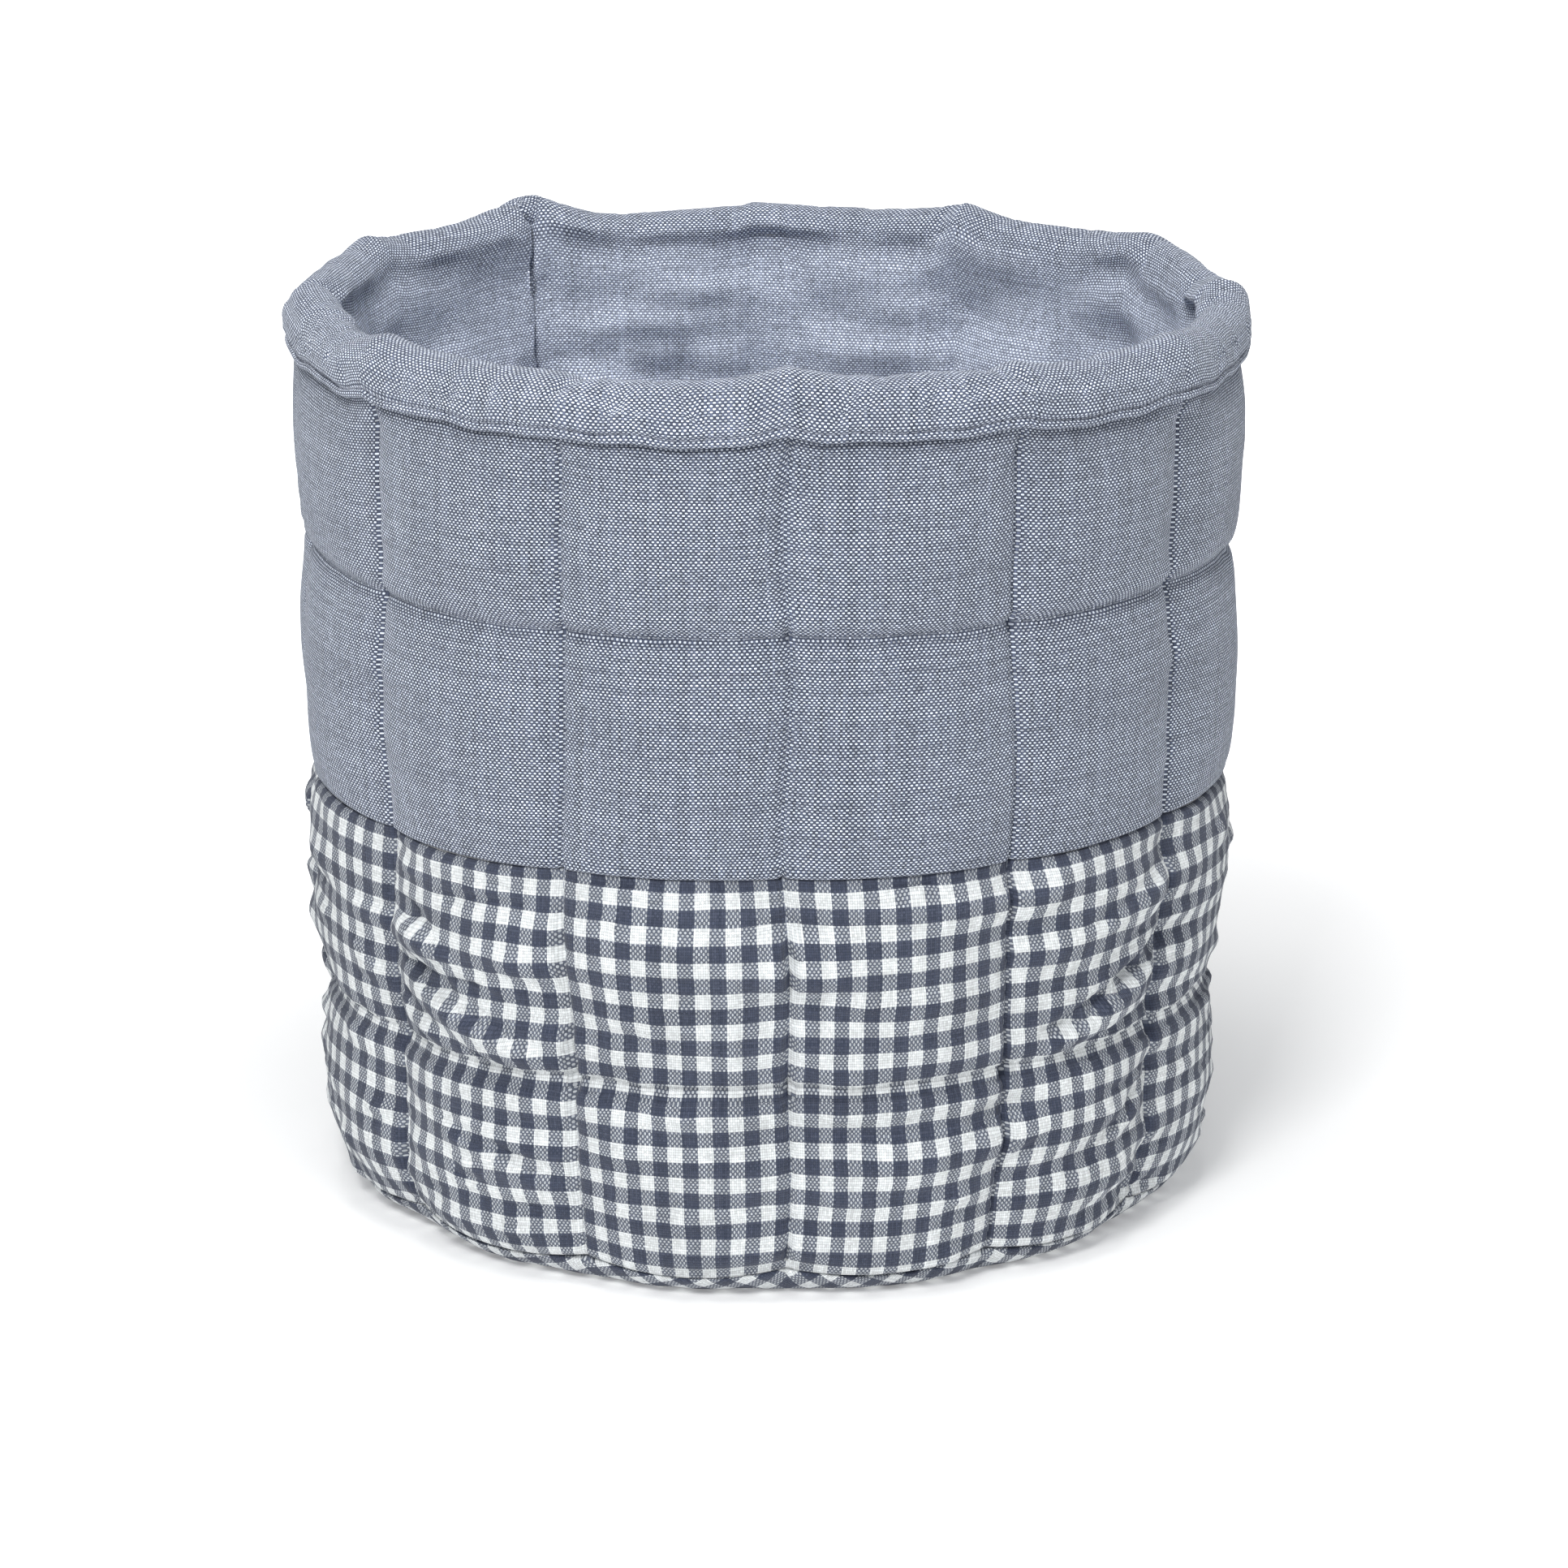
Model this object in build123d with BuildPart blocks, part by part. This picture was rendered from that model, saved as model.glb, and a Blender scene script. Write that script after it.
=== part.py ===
# Round quilted fabric storage basket for sewing things: an open-topped drum of quilted cloth.
# The wall is a sandwich of outer cloth (plain chambray above, gingham check below), loose
# batting and a chambray lining. The lining is turned over the mouth of the drum and hemmed
# down outside as a padded rim.
# Origin: centre of the base on the surface it stands on. +Z is up, -Y is the front and
# +X is the right side. All lengths are in millimetres.
from build123d import *
import math
import os

# ---------------------------------------------------------------- driving dimensions
diameter = 228.6           # widest size of the padded wall
height = 215.9             # floor to the top of the rim
cloth = 0.9                # woven cotton, pressed
gap = 0.1                  # air left between neighbouring layers
batting_inset = cloth + gap    # outside face of the cloth to the batting

# angles round the wall, degrees from the front, positive towards +X
quilt_angles = [2.5, 30.5, 57.5, 89.0, 120.5, 152.0, 182.0, 211.0, 242.5, 274.0, 305.5, 335.4]
side_seam_angle = 69.0     # outer tube is closed here
lining_seam_angle = 216.0  # lining tube is closed here

z_base_seam = 6.0          # wall meets base
z_wall_foot = z_base_seam + gap + 0.01     # lowest edge of the outer wall cloth
z_low_quilt = 51.5         # level quilting line in the gingham
z_panel_seam = 102.0       # gingham meets chambray
z_high_quilt = 157.5       # level quilting line in the chambray
z_hem = 202.4              # lower edge of the turned-over rim
panel_top = 209.4          # cut edge of the outer cloth, inside the rim

crown_bottom = 110.4       # radius of the padded crowns, extrapolated to the floor
crown_top = diameter / 2   # the same, extrapolated to the full height
valley_depth = 3.6         # upright quilting valleys, below the crowns
pinch_depth = 2.8          # level quilting lines, below the crowns
bulge_rise = 0.3           # half-section arcs stand this far outside the crowns
under_hem_radius = 111.85  # outer cloth where the rim covers it

z_lining_base = 7.2        # underside of the lining disc and of the wall batting
lining_base_cloth = 0.8    # thickness of the lining disc
z_lining_floor = z_lining_base + lining_base_cloth
z_lining_foot = z_lining_floor + gap   # lower edge of the lining tube
lining_radius_bottom = 100.3   # outside face of the lining tube at its foot
lining_radius_top = 104.3      # and at the rim

rim_centre_z = 210.6       # centre of the rolled rim
hem_outer = 113.75         # outside of the rim band
hem_ply = 112.0            # inside of the folded-under hem ply
hem_ply_cloth = 0.75       # thickness of that ply
fold_rise = 0.85           # height of the rounded fold at the hem
rim_inner = lining_radius_top - cloth
rim_centre_radius = (rim_inner + hem_outer) / 2

base_flat_radius = 97.0    # flat part of the base
base_radius = 104.9        # base at the seam
base_batting_edge = base_radius - batting_inset - 0.2
base_cell = 57.2           # spacing of the quilting lines on the base
base_lines = [cells * base_cell for cells in (-1.5, -0.5, 0.5, 1.5)]
base_turns = (45, -45)     # directions of the two crossed families of lines
base_groove_depth = 2.0
base_groove_half = 4.0     # half width of a groove at the cloth
groove_skirt = 0.8         # groove cutters reach this far below the face they cut
groove_reach = 120         # and this far each way along the line

thread = 0.5               # sewing thread diameter, plied polyester
touch = 0.05               # a thread lies this far off the cloth it holds down
seam_room_radius = 0.6     # bore in the batting round a side seam's thread
seam_room_span = (5, 207)  # heights between which that bore runs
z_seam_start = 9.0         # lower end of the upright threads
z_seam_end = 205.0         # upper end of the side seams

os.makedirs("parts", exist_ok=True)


def finish(builder, label):
    builder.part.label = label
    export_step(builder.part, "parts/" + label + ".step")


def at(radius, angle):
    a = math.radians(angle)
    return (radius * math.sin(a), -radius * math.cos(a))


# ---------------------------------------------------------------- radii at a height
def crown(z):
    return crown_bottom + (crown_top - crown_bottom) * z / height


def valley(z):
    return crown(z) - valley_depth


def pinch(z):
    return crown(z) - pinch_depth


def side_seam_radius(z):
    return valley(z) - batting_inset - 1.0


def lining_seam_radius(z):
    share = (z - z_lining_foot) / (rim_centre_z - z_lining_foot)
    lining = lining_radius_bottom + (lining_radius_top - lining_radius_bottom) * share
    return lining + gap + 0.5


def quilt_radius(z):
    return valley(z) + touch + thread / 2


# ---------------------------------------------------------------- working planes
def line_plane(turn, z):
    """Plane square to one family of base quilting lines: local x runs across them, y is up."""
    a = math.radians(turn)
    return Plane(
        origin=(0, 0, z),
        x_dir=(math.cos(a), math.sin(a), 0),
        z_dir=(math.sin(a), -math.cos(a), 0),
    )


def wall_line(radius_at, angle, z0, z1):
    """Plane whose normal follows a straight line up the leaning wall, and the line's length."""
    p0 = Vector(*at(radius_at(z0), angle), z0)
    p1 = Vector(*at(radius_at(z1), angle), z1)
    return Plane(origin=p0, z_dir=(p1 - p0).normalized()), (p1 - p0).length


# ---------------------------------------------------------------- padded wall
def scallops(valley_radius, crown_radius):
    """Closed ring of arcs, one for each padded column between two upright quilting lines."""
    next_angles = quilt_angles[1:] + [quilt_angles[0] + 360]
    for a0, a1 in zip(quilt_angles, next_angles):
        ThreePointArc(
            at(valley_radius, a0), at(crown_radius, (a0 + a1) / 2), at(valley_radius, a1)
        )


def quilted_outline(inset, z_low, z_high):
    """Half section of the wall, filled to the axis, bulged between the level quilting lines."""
    levels = [z_wall_foot, z_low_quilt, z_panel_seam, z_high_quilt, z_hem]
    outside = [base_radius, *(pinch(z) for z in levels[1:4]), under_hem_radius]
    radii = [r - inset for r in outside]
    Line((0, z_low), (radii[0], z_low))
    if z_low < z_wall_foot:
        Line((radii[0], z_low), (radii[0], z_wall_foot))
    for i in range(4):
        mid = (levels[i] + levels[i + 1]) / 2
        ThreePointArc(
            (radii[i], levels[i]),
            (crown(mid) + bulge_rise - inset, mid),
            (radii[i + 1], levels[i + 1]),
        )
    Polyline((radii[4], z_hem), (radii[4], z_high), (0, z_high), (0, z_low))


def padded_drum(inset, z_low, z_high):
    """Solid drum bounded by the wall's outside face, moved in by inset."""
    with BuildPart() as drum:
        with BuildSketch(Plane.XY):
            with BuildLine():
                scallops(valley(0) - inset, crown(0) - inset)
            make_face()
        with BuildSketch(Plane.XY.offset(height)):
            with BuildLine():
                scallops(valley(height) - inset, crown(height) - inset)
            make_face()
        loft(ruled=True)
        with BuildSketch(Plane.XZ):
            with BuildLine():
                quilted_outline(inset, z_low, z_high)
            make_face()
        revolve(axis=Axis.Z, mode=Mode.INTERSECT)
    return drum.part


# ---------------------------------------------------------------- outer cloth
drum_outside = padded_drum(0, z_wall_foot, panel_top)
drum_inside = padded_drum(cloth, z_base_seam - 3, panel_top + 3)

with BuildPart() as outer_tube:            # both wall panels, before they are parted
    add(drum_outside)
    add(drum_inside, mode=Mode.SUBTRACT)

for label, z_cut, side in (
    ("outer_upper_panel", z_panel_seam + gap / 2, Keep.TOP),       # chambray
    ("outer_lower_panel", z_panel_seam - gap / 2, Keep.BOTTOM),    # gingham
):
    with BuildPart() as wall_panel:
        add(outer_tube.part)
        split(bisect_by=Plane.XY.offset(z_cut), keep=side)
    finish(wall_panel, label)


def base_dish(flat_end, bulge, edge_end, z_top, groove_half=base_groove_half):
    """Solid disc with a turned-up edge and crossed V grooves underneath.

    flat_end, bulge and edge_end are the (radius, z) points of the arc at its edge.
    """
    z_bottom = flat_end[1]
    edge_radius, z_edge = edge_end
    with BuildPart() as dish:
        with BuildSketch(Plane.XZ):
            with BuildLine():
                Polyline((0, z_top), (0, z_bottom), flat_end)
                ThreePointArc(flat_end, bulge, edge_end)
                if z_top > z_edge:
                    Line(edge_end, (edge_radius, z_top))
                Line((edge_radius, z_top), (0, z_top))
            make_face()
        revolve(axis=Axis.Z)
        for turn in base_turns:
            with BuildSketch(line_plane(turn, z_bottom)):
                for shift in base_lines:
                    left = shift - groove_half
                    right = shift + groove_half
                    with BuildLine():
                        Polyline(
                            (left, -groove_skirt), (left, 0), (shift, base_groove_depth),
                            (right, 0), (right, -groove_skirt), close=True,
                        )
                    make_face()
            extrude(amount=groove_reach, both=True, mode=Mode.SUBTRACT)
    return dish.part


base_outside = base_dish(
    flat_end=(base_flat_radius, 0),
    bulge=(base_radius - 2.0, 2.1),
    edge_end=(base_radius, z_base_seam),
    z_top=z_base_seam,
)
base_inside = base_dish(
    flat_end=(base_flat_radius - 0.4, cloth),
    bulge=(base_radius - 2.75, 2.8),
    edge_end=(base_radius - cloth, z_base_seam),
    z_top=z_base_seam + 2,
)

with BuildPart() as outer_base_panel:      # gingham disc, its edge turned up to the seam
    add(base_outside)
    add(base_inside, mode=Mode.SUBTRACT)
finish(outer_base_panel, "outer_base_panel")

# ---------------------------------------------------------------- batting
batting_drum = padded_drum(batting_inset, z_base_seam, panel_top + gap)
roll_inner = lining_radius_top + gap       # padded head of the batting, inside the rim
roll_outer = hem_outer - cloth - gap
roll_root_radius = 109.0                   # root that sinks into the batting below
roll_root_z = panel_top - 3

with BuildPart() as wall_batting:          # tube of wadding, with a rounded head in the rim
    add(batting_drum)
    with BuildSketch(Plane.XZ):            # head, above the cut edge of the outer cloth
        with BuildLine():
            Line((roll_inner, roll_root_z), (roll_inner, rim_centre_z))
            ThreePointArc(
                (roll_inner, rim_centre_z),
                (rim_centre_radius, height - batting_inset),
                (roll_outer, rim_centre_z),
            )
            Polyline(
                (roll_outer, rim_centre_z),
                (roll_outer, panel_top + gap),
                (roll_root_radius, panel_top + gap),
                (roll_root_radius, roll_root_z),
                (roll_inner, roll_root_z),
            )
        make_face()
    revolve(axis=Axis.Z)
    with BuildSketch(Plane.XZ):            # bore for the lining
        with BuildLine():
            Polyline(
                (0, -1),
                (lining_radius_bottom + gap, -1),
                (lining_radius_bottom + gap, z_lining_base),
                (roll_inner, rim_centre_z),
                (roll_inner, 230),
                (0, 230),
                close=True,
            )
        make_face()
    revolve(axis=Axis.Z, mode=Mode.SUBTRACT)
    with BuildSketch(Plane.XZ):            # level cut across the foot
        with BuildLine():
            Polyline((0, -2), (130, -2), (130, z_lining_base), (0, z_lining_base), close=True)
        make_face()
    revolve(axis=Axis.Z, mode=Mode.SUBTRACT)
    with BuildSketch(Plane.XZ):            # room for the panel seam's thread
        with Locations((valley(z_panel_seam) - batting_inset, z_panel_seam)):
            Rectangle(2.8, 1.4)
    revolve(axis=Axis.Z, mode=Mode.SUBTRACT)
    for radius_at, angle in (              # room for the threads of the two side seams
        (side_seam_radius, side_seam_angle),
        (lining_seam_radius, lining_seam_angle),
    ):
        room_plane, room_length = wall_line(radius_at, angle, *seam_room_span)
        with BuildSketch(room_plane):
            Circle(seam_room_radius)
        extrude(amount=room_length, mode=Mode.SUBTRACT)
finish(wall_batting, "wall_batting")

batting_disc = base_dish(
    flat_end=(base_flat_radius - 0.6, batting_inset),
    bulge=(base_radius - 3.0, 3.0),
    edge_end=(base_batting_edge, z_base_seam - gap),
    z_top=z_lining_base - gap,
    groove_half=base_groove_half + 0.2,
)

with BuildPart() as base_batting:          # disc of the same wadding
    add(batting_disc)
    with BuildSketch(Plane.XZ):            # room for the base seam's thread
        with Locations((base_batting_edge, 6.55)):
            Rectangle(1.6, 1.2)
    revolve(axis=Axis.Z, mode=Mode.SUBTRACT)
finish(base_batting, "base_batting")

# ---------------------------------------------------------------- lining
z_fold = z_hem + fold_rise                 # where the fold at the hem runs into its two plies
z_fold_inside = z_hem + 1.0                # inner face of the fold

with BuildPart() as lining_wall_panel:     # chambray tube, turned over the rim and hemmed
    with BuildSketch(Plane.XZ):
        with BuildLine():
            Line((lining_radius_bottom - cloth, z_lining_foot), (rim_inner, rim_centre_z))
            ThreePointArc(
                (rim_inner, rim_centre_z), (rim_centre_radius, height), (hem_outer, rim_centre_z)
            )
            Line((hem_outer, rim_centre_z), (hem_outer, z_fold))
            ThreePointArc(
                (hem_outer, z_fold), ((hem_outer + hem_ply) / 2, z_hem), (hem_ply, z_fold)
            )
            Polyline(
                (hem_ply, z_fold),
                (hem_ply, panel_top - gap),
                (hem_ply + hem_ply_cloth, panel_top - gap),
                (hem_ply + hem_ply_cloth, z_fold_inside),
                (hem_outer - cloth, z_fold_inside),
                (hem_outer - cloth, rim_centre_z),
            )
            ThreePointArc(
                (hem_outer - cloth, rim_centre_z),
                (rim_centre_radius, height - cloth),
                (lining_radius_top, rim_centre_z),
            )
            Polyline(
                (lining_radius_top, rim_centre_z),
                (lining_radius_bottom, z_lining_foot),
                (lining_radius_bottom - cloth, z_lining_foot),
            )
        make_face()
    revolve(axis=Axis.Z)
finish(lining_wall_panel, "lining_wall_panel")

with BuildPart() as lining_base_panel:     # chambray disc inside the base
    with BuildSketch(Plane.XY.offset(z_lining_base)):
        Circle(lining_radius_bottom)
    extrude(amount=lining_base_cloth)
finish(lining_base_panel, "lining_base_panel")


# ---------------------------------------------------------------- sewing threads
def wall_thread(label, radius_at, runs):
    """Thread in straight runs up the wall, each run given as (angle, z0, z1)."""
    with BuildPart() as thread_part:
        for angle, z0, z1 in runs:
            run_plane, run_length = wall_line(radius_at, angle, z0, z1)
            with BuildSketch(run_plane):
                Circle(thread / 2)
            extrude(amount=run_length)
    finish(thread_part, label)


def ring_thread(label, radius, z):
    """Thread in one level ring."""
    with BuildPart() as thread_part:
        with BuildSketch(Plane.XZ):
            with Locations((radius, z)):
                Circle(thread / 2)
        revolve(axis=Axis.Z)
    finish(thread_part, label)


# one run down each valley of the wall
wall_thread(
    "upright_quilting_thread",
    quilt_radius,
    [(angle, z_seam_start, z_hem - 0.4) for angle in quilt_angles],
)

for label, z_line in (
    ("level_quilting_thread_upper", z_high_quilt),
    ("level_quilting_thread_lower", z_low_quilt),
):
    ring_thread(label, pinch(z_line) + touch + 0.15 + thread / 2, z_line)

# edge stitch just above the lower fold of the rim
ring_thread("hem_topstitch_thread", hem_outer + touch + thread / 2, z_hem + 2.2)

# joins the gingham to the chambray, hidden behind the cloth
ring_thread("panel_seam_thread", valley(z_panel_seam) - batting_inset - 0.45, z_panel_seam)

# closes the outer tube, hidden behind the cloth and broken at the panel seam
wall_thread(
    "side_seam_thread",
    side_seam_radius,
    [
        (side_seam_angle, z_seam_start, z_panel_seam - 1.0),
        (side_seam_angle, z_panel_seam + 1.0, z_seam_end),
    ],
)

# joins the wall to the base, hidden in the turned-in edges
ring_thread("base_seam_thread", base_batting_edge - 0.35, 6.6)

# closes the lining tube
wall_thread(
    "lining_side_seam_thread",
    lining_seam_radius,
    [(lining_seam_angle, z_seam_start, z_seam_end)],
)

# joins the lining tube to its base disc, in the inside corner
ring_thread(
    "lining_base_seam_thread",
    lining_radius_bottom - cloth - touch - thread / 2,
    z_lining_floor + touch + thread / 2,
)

base_thread_radius = 93.0                  # runs under the base end on this circle

with BuildPart() as base_quilting_thread:  # crossed runs, recessed in the grooves
    for turn in base_turns:
        for shift in base_lines:
            half_run = math.sqrt(base_thread_radius ** 2 - shift ** 2)
            with BuildSketch(line_plane(turn, 0)):
                with Locations((shift, base_groove_depth - 0.9)):
                    Circle(thread / 2)
            extrude(amount=half_run, both=True)
finish(base_quilting_thread, "base_quilting_thread")
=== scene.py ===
"""Round quilted basket: gingham below, chambray above, chambray lining rolled over the rim.

The basket stands upright on z = 0, centred on the z axis. Shapes are worked out in
millimetres and scaled to metres when each mesh is made. Angles are in degrees round the
wall: 0 is the front (-Y), growing towards +X. Cloth sheets are grids of points; a grid row
runs once round the basket and closes on itself.
"""
import bisect
import math

import bpy
import numpy as np
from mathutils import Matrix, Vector


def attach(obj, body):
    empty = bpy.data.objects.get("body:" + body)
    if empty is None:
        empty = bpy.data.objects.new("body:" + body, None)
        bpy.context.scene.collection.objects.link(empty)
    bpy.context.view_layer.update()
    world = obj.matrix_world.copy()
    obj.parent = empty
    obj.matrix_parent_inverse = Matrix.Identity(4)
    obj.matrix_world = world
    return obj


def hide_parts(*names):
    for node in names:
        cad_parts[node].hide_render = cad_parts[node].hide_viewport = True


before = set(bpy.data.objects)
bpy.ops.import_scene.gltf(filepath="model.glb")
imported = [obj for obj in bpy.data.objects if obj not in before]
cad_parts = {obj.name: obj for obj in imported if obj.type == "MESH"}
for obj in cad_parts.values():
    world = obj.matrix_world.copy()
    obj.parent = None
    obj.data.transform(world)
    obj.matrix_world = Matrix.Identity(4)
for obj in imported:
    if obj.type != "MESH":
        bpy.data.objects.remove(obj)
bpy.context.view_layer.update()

# ------------------------------------------------------------------ sizes
MM = 0.001
SIM_SCALE = 0.1           # cloth is simulated at one unit per centimetre
REFINE = 1.5              # refinement of the simulated grids
GRID_STEP = 1.5           # spacing of the simulated grids
COLUMN_RADIUS = 112       # radius at which the columns are spaced

# angles of the upright quilting lines, and of the two cloth seams
LINE_ANGLES = [2.5, 30.5, 57.5, 89.0, 120.5, 152.0, 182.0, 211.0, 242.5, 274.0, 305.5, 335.4]
SIDE_SEAM, LINING_SEAM = 69.0, 214.0

HEIGHT = 215.9
FOOT_RADIUS, MOUTH_RADIUS = 110.4, 114.3
# base seam, lower level line, panel seam, upper level line, lining hem, top of outer cloth
LEVELS = [6.0, 51.5, 102.0, 157.5, 202.4, 209.4]
SEAM_Z, LOW_Z, PANEL_Z, HIGH_Z, HEM_Z, TOP_Z = LEVELS

CHECK_U, CHECK_V = 7.0, 7.6               # gingham repeat, across and up, as sewn
OUTER_THICK, LINING_THICK = 0.5, 0.45     # cloth thicknesses


# ------------------------------------------------------------------ grid helpers
def even_count(length):
    return 2 * round(length / GRID_STEP / 2)


def smoothstep(x):
    return x * x * (3 - 2 * x)


def ring(radius, z, angle):
    """Points at a radius and height for angles in radians."""
    return np.stack([radius * np.sin(angle), -radius * np.cos(angle), z + 0 * angle], -1)


def directions(angle):
    """Unit vectors pointing outwards at angles in radians."""
    return np.stack([np.sin(angle), -np.cos(angle), 0 * angle], -1)


def moved_out(points, distance):
    return points + outward * distance[..., None]


def columns_from(column):
    """Signed distance of each column from one column, the short way round."""
    return (np.arange(COLUMNS) - column + COLUMNS / 2) % COLUMNS - COLUMNS / 2


def value_noise(rows, columns, cell_columns, cell_rows, seed):
    """Smooth noise that wraps round, with features about one cell in size."""
    knot_count = (max(4, int(rows / cell_rows)) + 1, max(4, int(columns / cell_columns)))
    knots = np.random.default_rng(seed).normal(size=knot_count)
    row_at = np.linspace(0, knots.shape[0] - 1.001, rows)
    column_at = np.arange(columns) / columns * knots.shape[1]
    row, column = row_at.astype(int), column_at.astype(int)
    row_blend = smoothstep((row_at - row)[:, None])
    column_blend = smoothstep((column_at - column)[None])
    following = (column + 1) % knots.shape[1]

    def across(r):
        return knots[r][:, column] * (1 - column_blend) + knots[r][:, following] * column_blend
    return across(row) * (1 - row_blend) + across(row + 1) * row_blend


def path_length(radii, heights, stretch=1.0):
    """Length along a profile from its first point to each point."""
    steps = np.hypot(np.diff(radii), np.diff(heights)) * stretch
    return np.concatenate([[0], np.cumsum(steps)])


def slack_shape(radii, heights, slack_across, slack_up):
    """The larger shape a sheet wants to take, given its slack at each profile point."""
    stretch = 1 + 0.5 * (slack_up[1:] + slack_up[:-1])
    along = path_length(radii, heights, stretch)
    return ring((radii * (1 + slack_across))[:, None], along[:, None], theta[None])


def refine_axis(grid, count, wrap):
    """Cubic (Catmull-Rom) refinement of the first axis."""
    size = len(grid)
    at = np.arange(count) / REFINE
    k = np.minimum(at.astype(int), size - (1 if wrap else 2))
    f = (at - k).reshape(-1, 1, 1)

    def point(index):
        if wrap:
            return grid[index % size]
        # beyond an end, the grid is carried on by its mirror point
        nearest = np.clip(index, 0, size - 1)
        return 2 * grid[nearest] - grid[2 * nearest - index]
    p0, p1, p2, p3 = (point(k + step) for step in (-1, 0, 1, 2))
    cubic = 2 * p0 - 5 * p1 + 4 * p2 - p3 + f * (3 * (p1 - p2) + p3 - p0)
    return p1 + 0.5 * f * (p2 - p0 + f * cubic)


def refine(grid):
    rows, columns = grid.shape[:2]
    grid = refine_axis(grid, int((rows - 1) * REFINE) + 1, wrap=False)
    return np.swapaxes(
        refine_axis(np.swapaxes(grid, 0, 1), int(columns * REFINE), wrap=True), 0, 1)


def refined(index):
    """Refined index of a simulated row or column."""
    return int(round(index * REFINE))


def grid_normals(grid):
    across = np.roll(grid, -1, 1) - np.roll(grid, 1, 1)
    normals = np.cross(across, np.gradient(grid, axis=0))
    return normals / np.maximum(np.linalg.norm(normals, axis=-1, keepdims=True), 1e-9)


# ------------------------------------------------------------------ columns of all wall sheets
angles, between, line_cols = [], [], []
for first, last in zip(LINE_ANGLES, LINE_ANGLES[1:] + [LINE_ANGLES[0] + 360]):
    count = even_count(math.radians(last - first) * COLUMN_RADIUS)
    line_cols.append(len(angles))
    angles += list(first + (last - first) * np.arange(count) / count)
    between += list(np.sin(np.pi * np.arange(count) / count))
angles = np.array(angles)
between = np.array(between)       # 0 on an upright quilting line, 1 half way between two
COLUMNS = len(angles)
theta = np.radians(angles)
outward = directions(theta)

# ------------------------------------------------------------------ cloth simulation
CLOTH = dict(
    quality=4, mass=0.3,
    tension_stiffness=40, compression_stiffness=40, shear_stiffness=14, bending_stiffness=0.05,
    tension_damping=5, compression_damping=5, shear_damping=5, bending_damping=0.5,
    air_damping=1, use_pressure=True, uniform_pressure_force=1.2)


def tube_mesh(name, points):
    rows, columns, _ = points.shape
    index = np.arange(rows * columns).reshape(rows, columns)
    after = np.roll(index, -1, 1)
    faces = np.stack([index[:-1], after[:-1], after[1:], index[1:]], -1).reshape(-1, 4)
    mesh = bpy.data.meshes.new(name)
    mesh.vertices.add(rows * columns)
    mesh.vertices.foreach_set("co", points.reshape(-1).astype(np.float32))
    mesh.loops.add(faces.size)
    mesh.loops.foreach_set("vertex_index", faces.reshape(-1).astype(np.int32))
    mesh.polygons.add(len(faces))
    mesh.polygons.foreach_set("loop_start", (np.arange(len(faces)) * 4).astype(np.int32))
    mesh.update(calc_edges=True)
    return mesh


def weight_group(obj, name, weights, decimals):
    group = obj.vertex_groups.new(name=name)
    weights = np.round(weights.reshape(-1), decimals)
    for level in sorted(set(weights[weights > 0])):
        group.add(np.nonzero(weights == level)[0].tolist(), float(level), "REPLACE")


def settle(name, start, rest, pin, push, frames, cap):
    """Blender cloth: the sheet starts at start, wants the larger size of rest, is held by
    the weights of pin and is pressed outwards by the weights of push. Returns the settled
    points, none moved further than cap."""
    mesh = tube_mesh(name, start * SIM_SCALE)
    obj = bpy.data.objects.new(name, mesh)
    bpy.context.scene.collection.objects.link(obj)
    weight_group(obj, "hold", pin, decimals=2)
    obj.shape_key_add(name="Basis")
    key = obj.shape_key_add(name="rest")
    key.value = 0
    key.data.foreach_set("co", (rest * SIM_SCALE).reshape(-1).astype(np.float32))
    modifier = obj.modifiers.new("cloth", "CLOTH")
    settings = modifier.settings
    for setting, value in CLOTH.items():
        setattr(settings, setting, value)
    settings.vertex_group_mass = "hold"
    settings.rest_shape_key = key
    weight_group(obj, "push", np.broadcast_to(push, pin.shape), decimals=1)
    settings.vertex_group_pressure = "push"
    settings.effector_weights.gravity = 0
    modifier.collision_settings.use_collision = False
    modifier.collision_settings.use_self_collision = False
    modifier.point_cache.frame_start = 1
    modifier.point_cache.frame_end = frames
    scene = bpy.context.scene
    scene.frame_start, scene.frame_end = 1, frames
    for frame in range(1, frames + 1):
        scene.frame_set(frame)
    evaluated = obj.evaluated_get(bpy.context.evaluated_depsgraph_get())
    settled = np.zeros(start.size, np.float32)
    evaluated.data.vertices.foreach_get("co", settled)
    settled = settled.reshape(start.shape).astype(float) / SIM_SCALE
    bpy.data.objects.remove(obj)
    bpy.data.meshes.remove(mesh)
    scene.frame_set(1)
    move = settled - start
    distance = np.linalg.norm(move, axis=-1, keepdims=True)
    return start + move * np.minimum(1, cap / np.maximum(distance, 1e-9))


# ------------------------------------------------------------------ outer sheet
# One grid from under the base edge up the gingham wall and the chambray wall.
def taper_radius(z):
    return FOOT_RADIUS + (MOUTH_RADIUS - FOOT_RADIUS) * z / HEIGHT


LEVEL_RADII = [104.9, taper_radius(LOW_Z) - 4.6, taper_radius(PANEL_Z) - 1.9,
               taper_radius(HIGH_Z) - 2.6, 111.6, 111.6]
# fullness between successive levels: amount, and power (lower is squarer)
BULGES = [(2.6, 0.7), (2.2, 0.7), (1.5, 0.6), (2.0, 0.5), (0, 1)]
BASE_FLAT_RADII = np.arange(84, 97.6, 1.5)
# radius, z round the corner from the base up to the base seam
BASE_CORNER = [(98.9, 0.2), (100.2, 0.6), (101.4, 1.2), (102.5, 2.1), (103.4, 3.2), (104.2, 4.6)]


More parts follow.
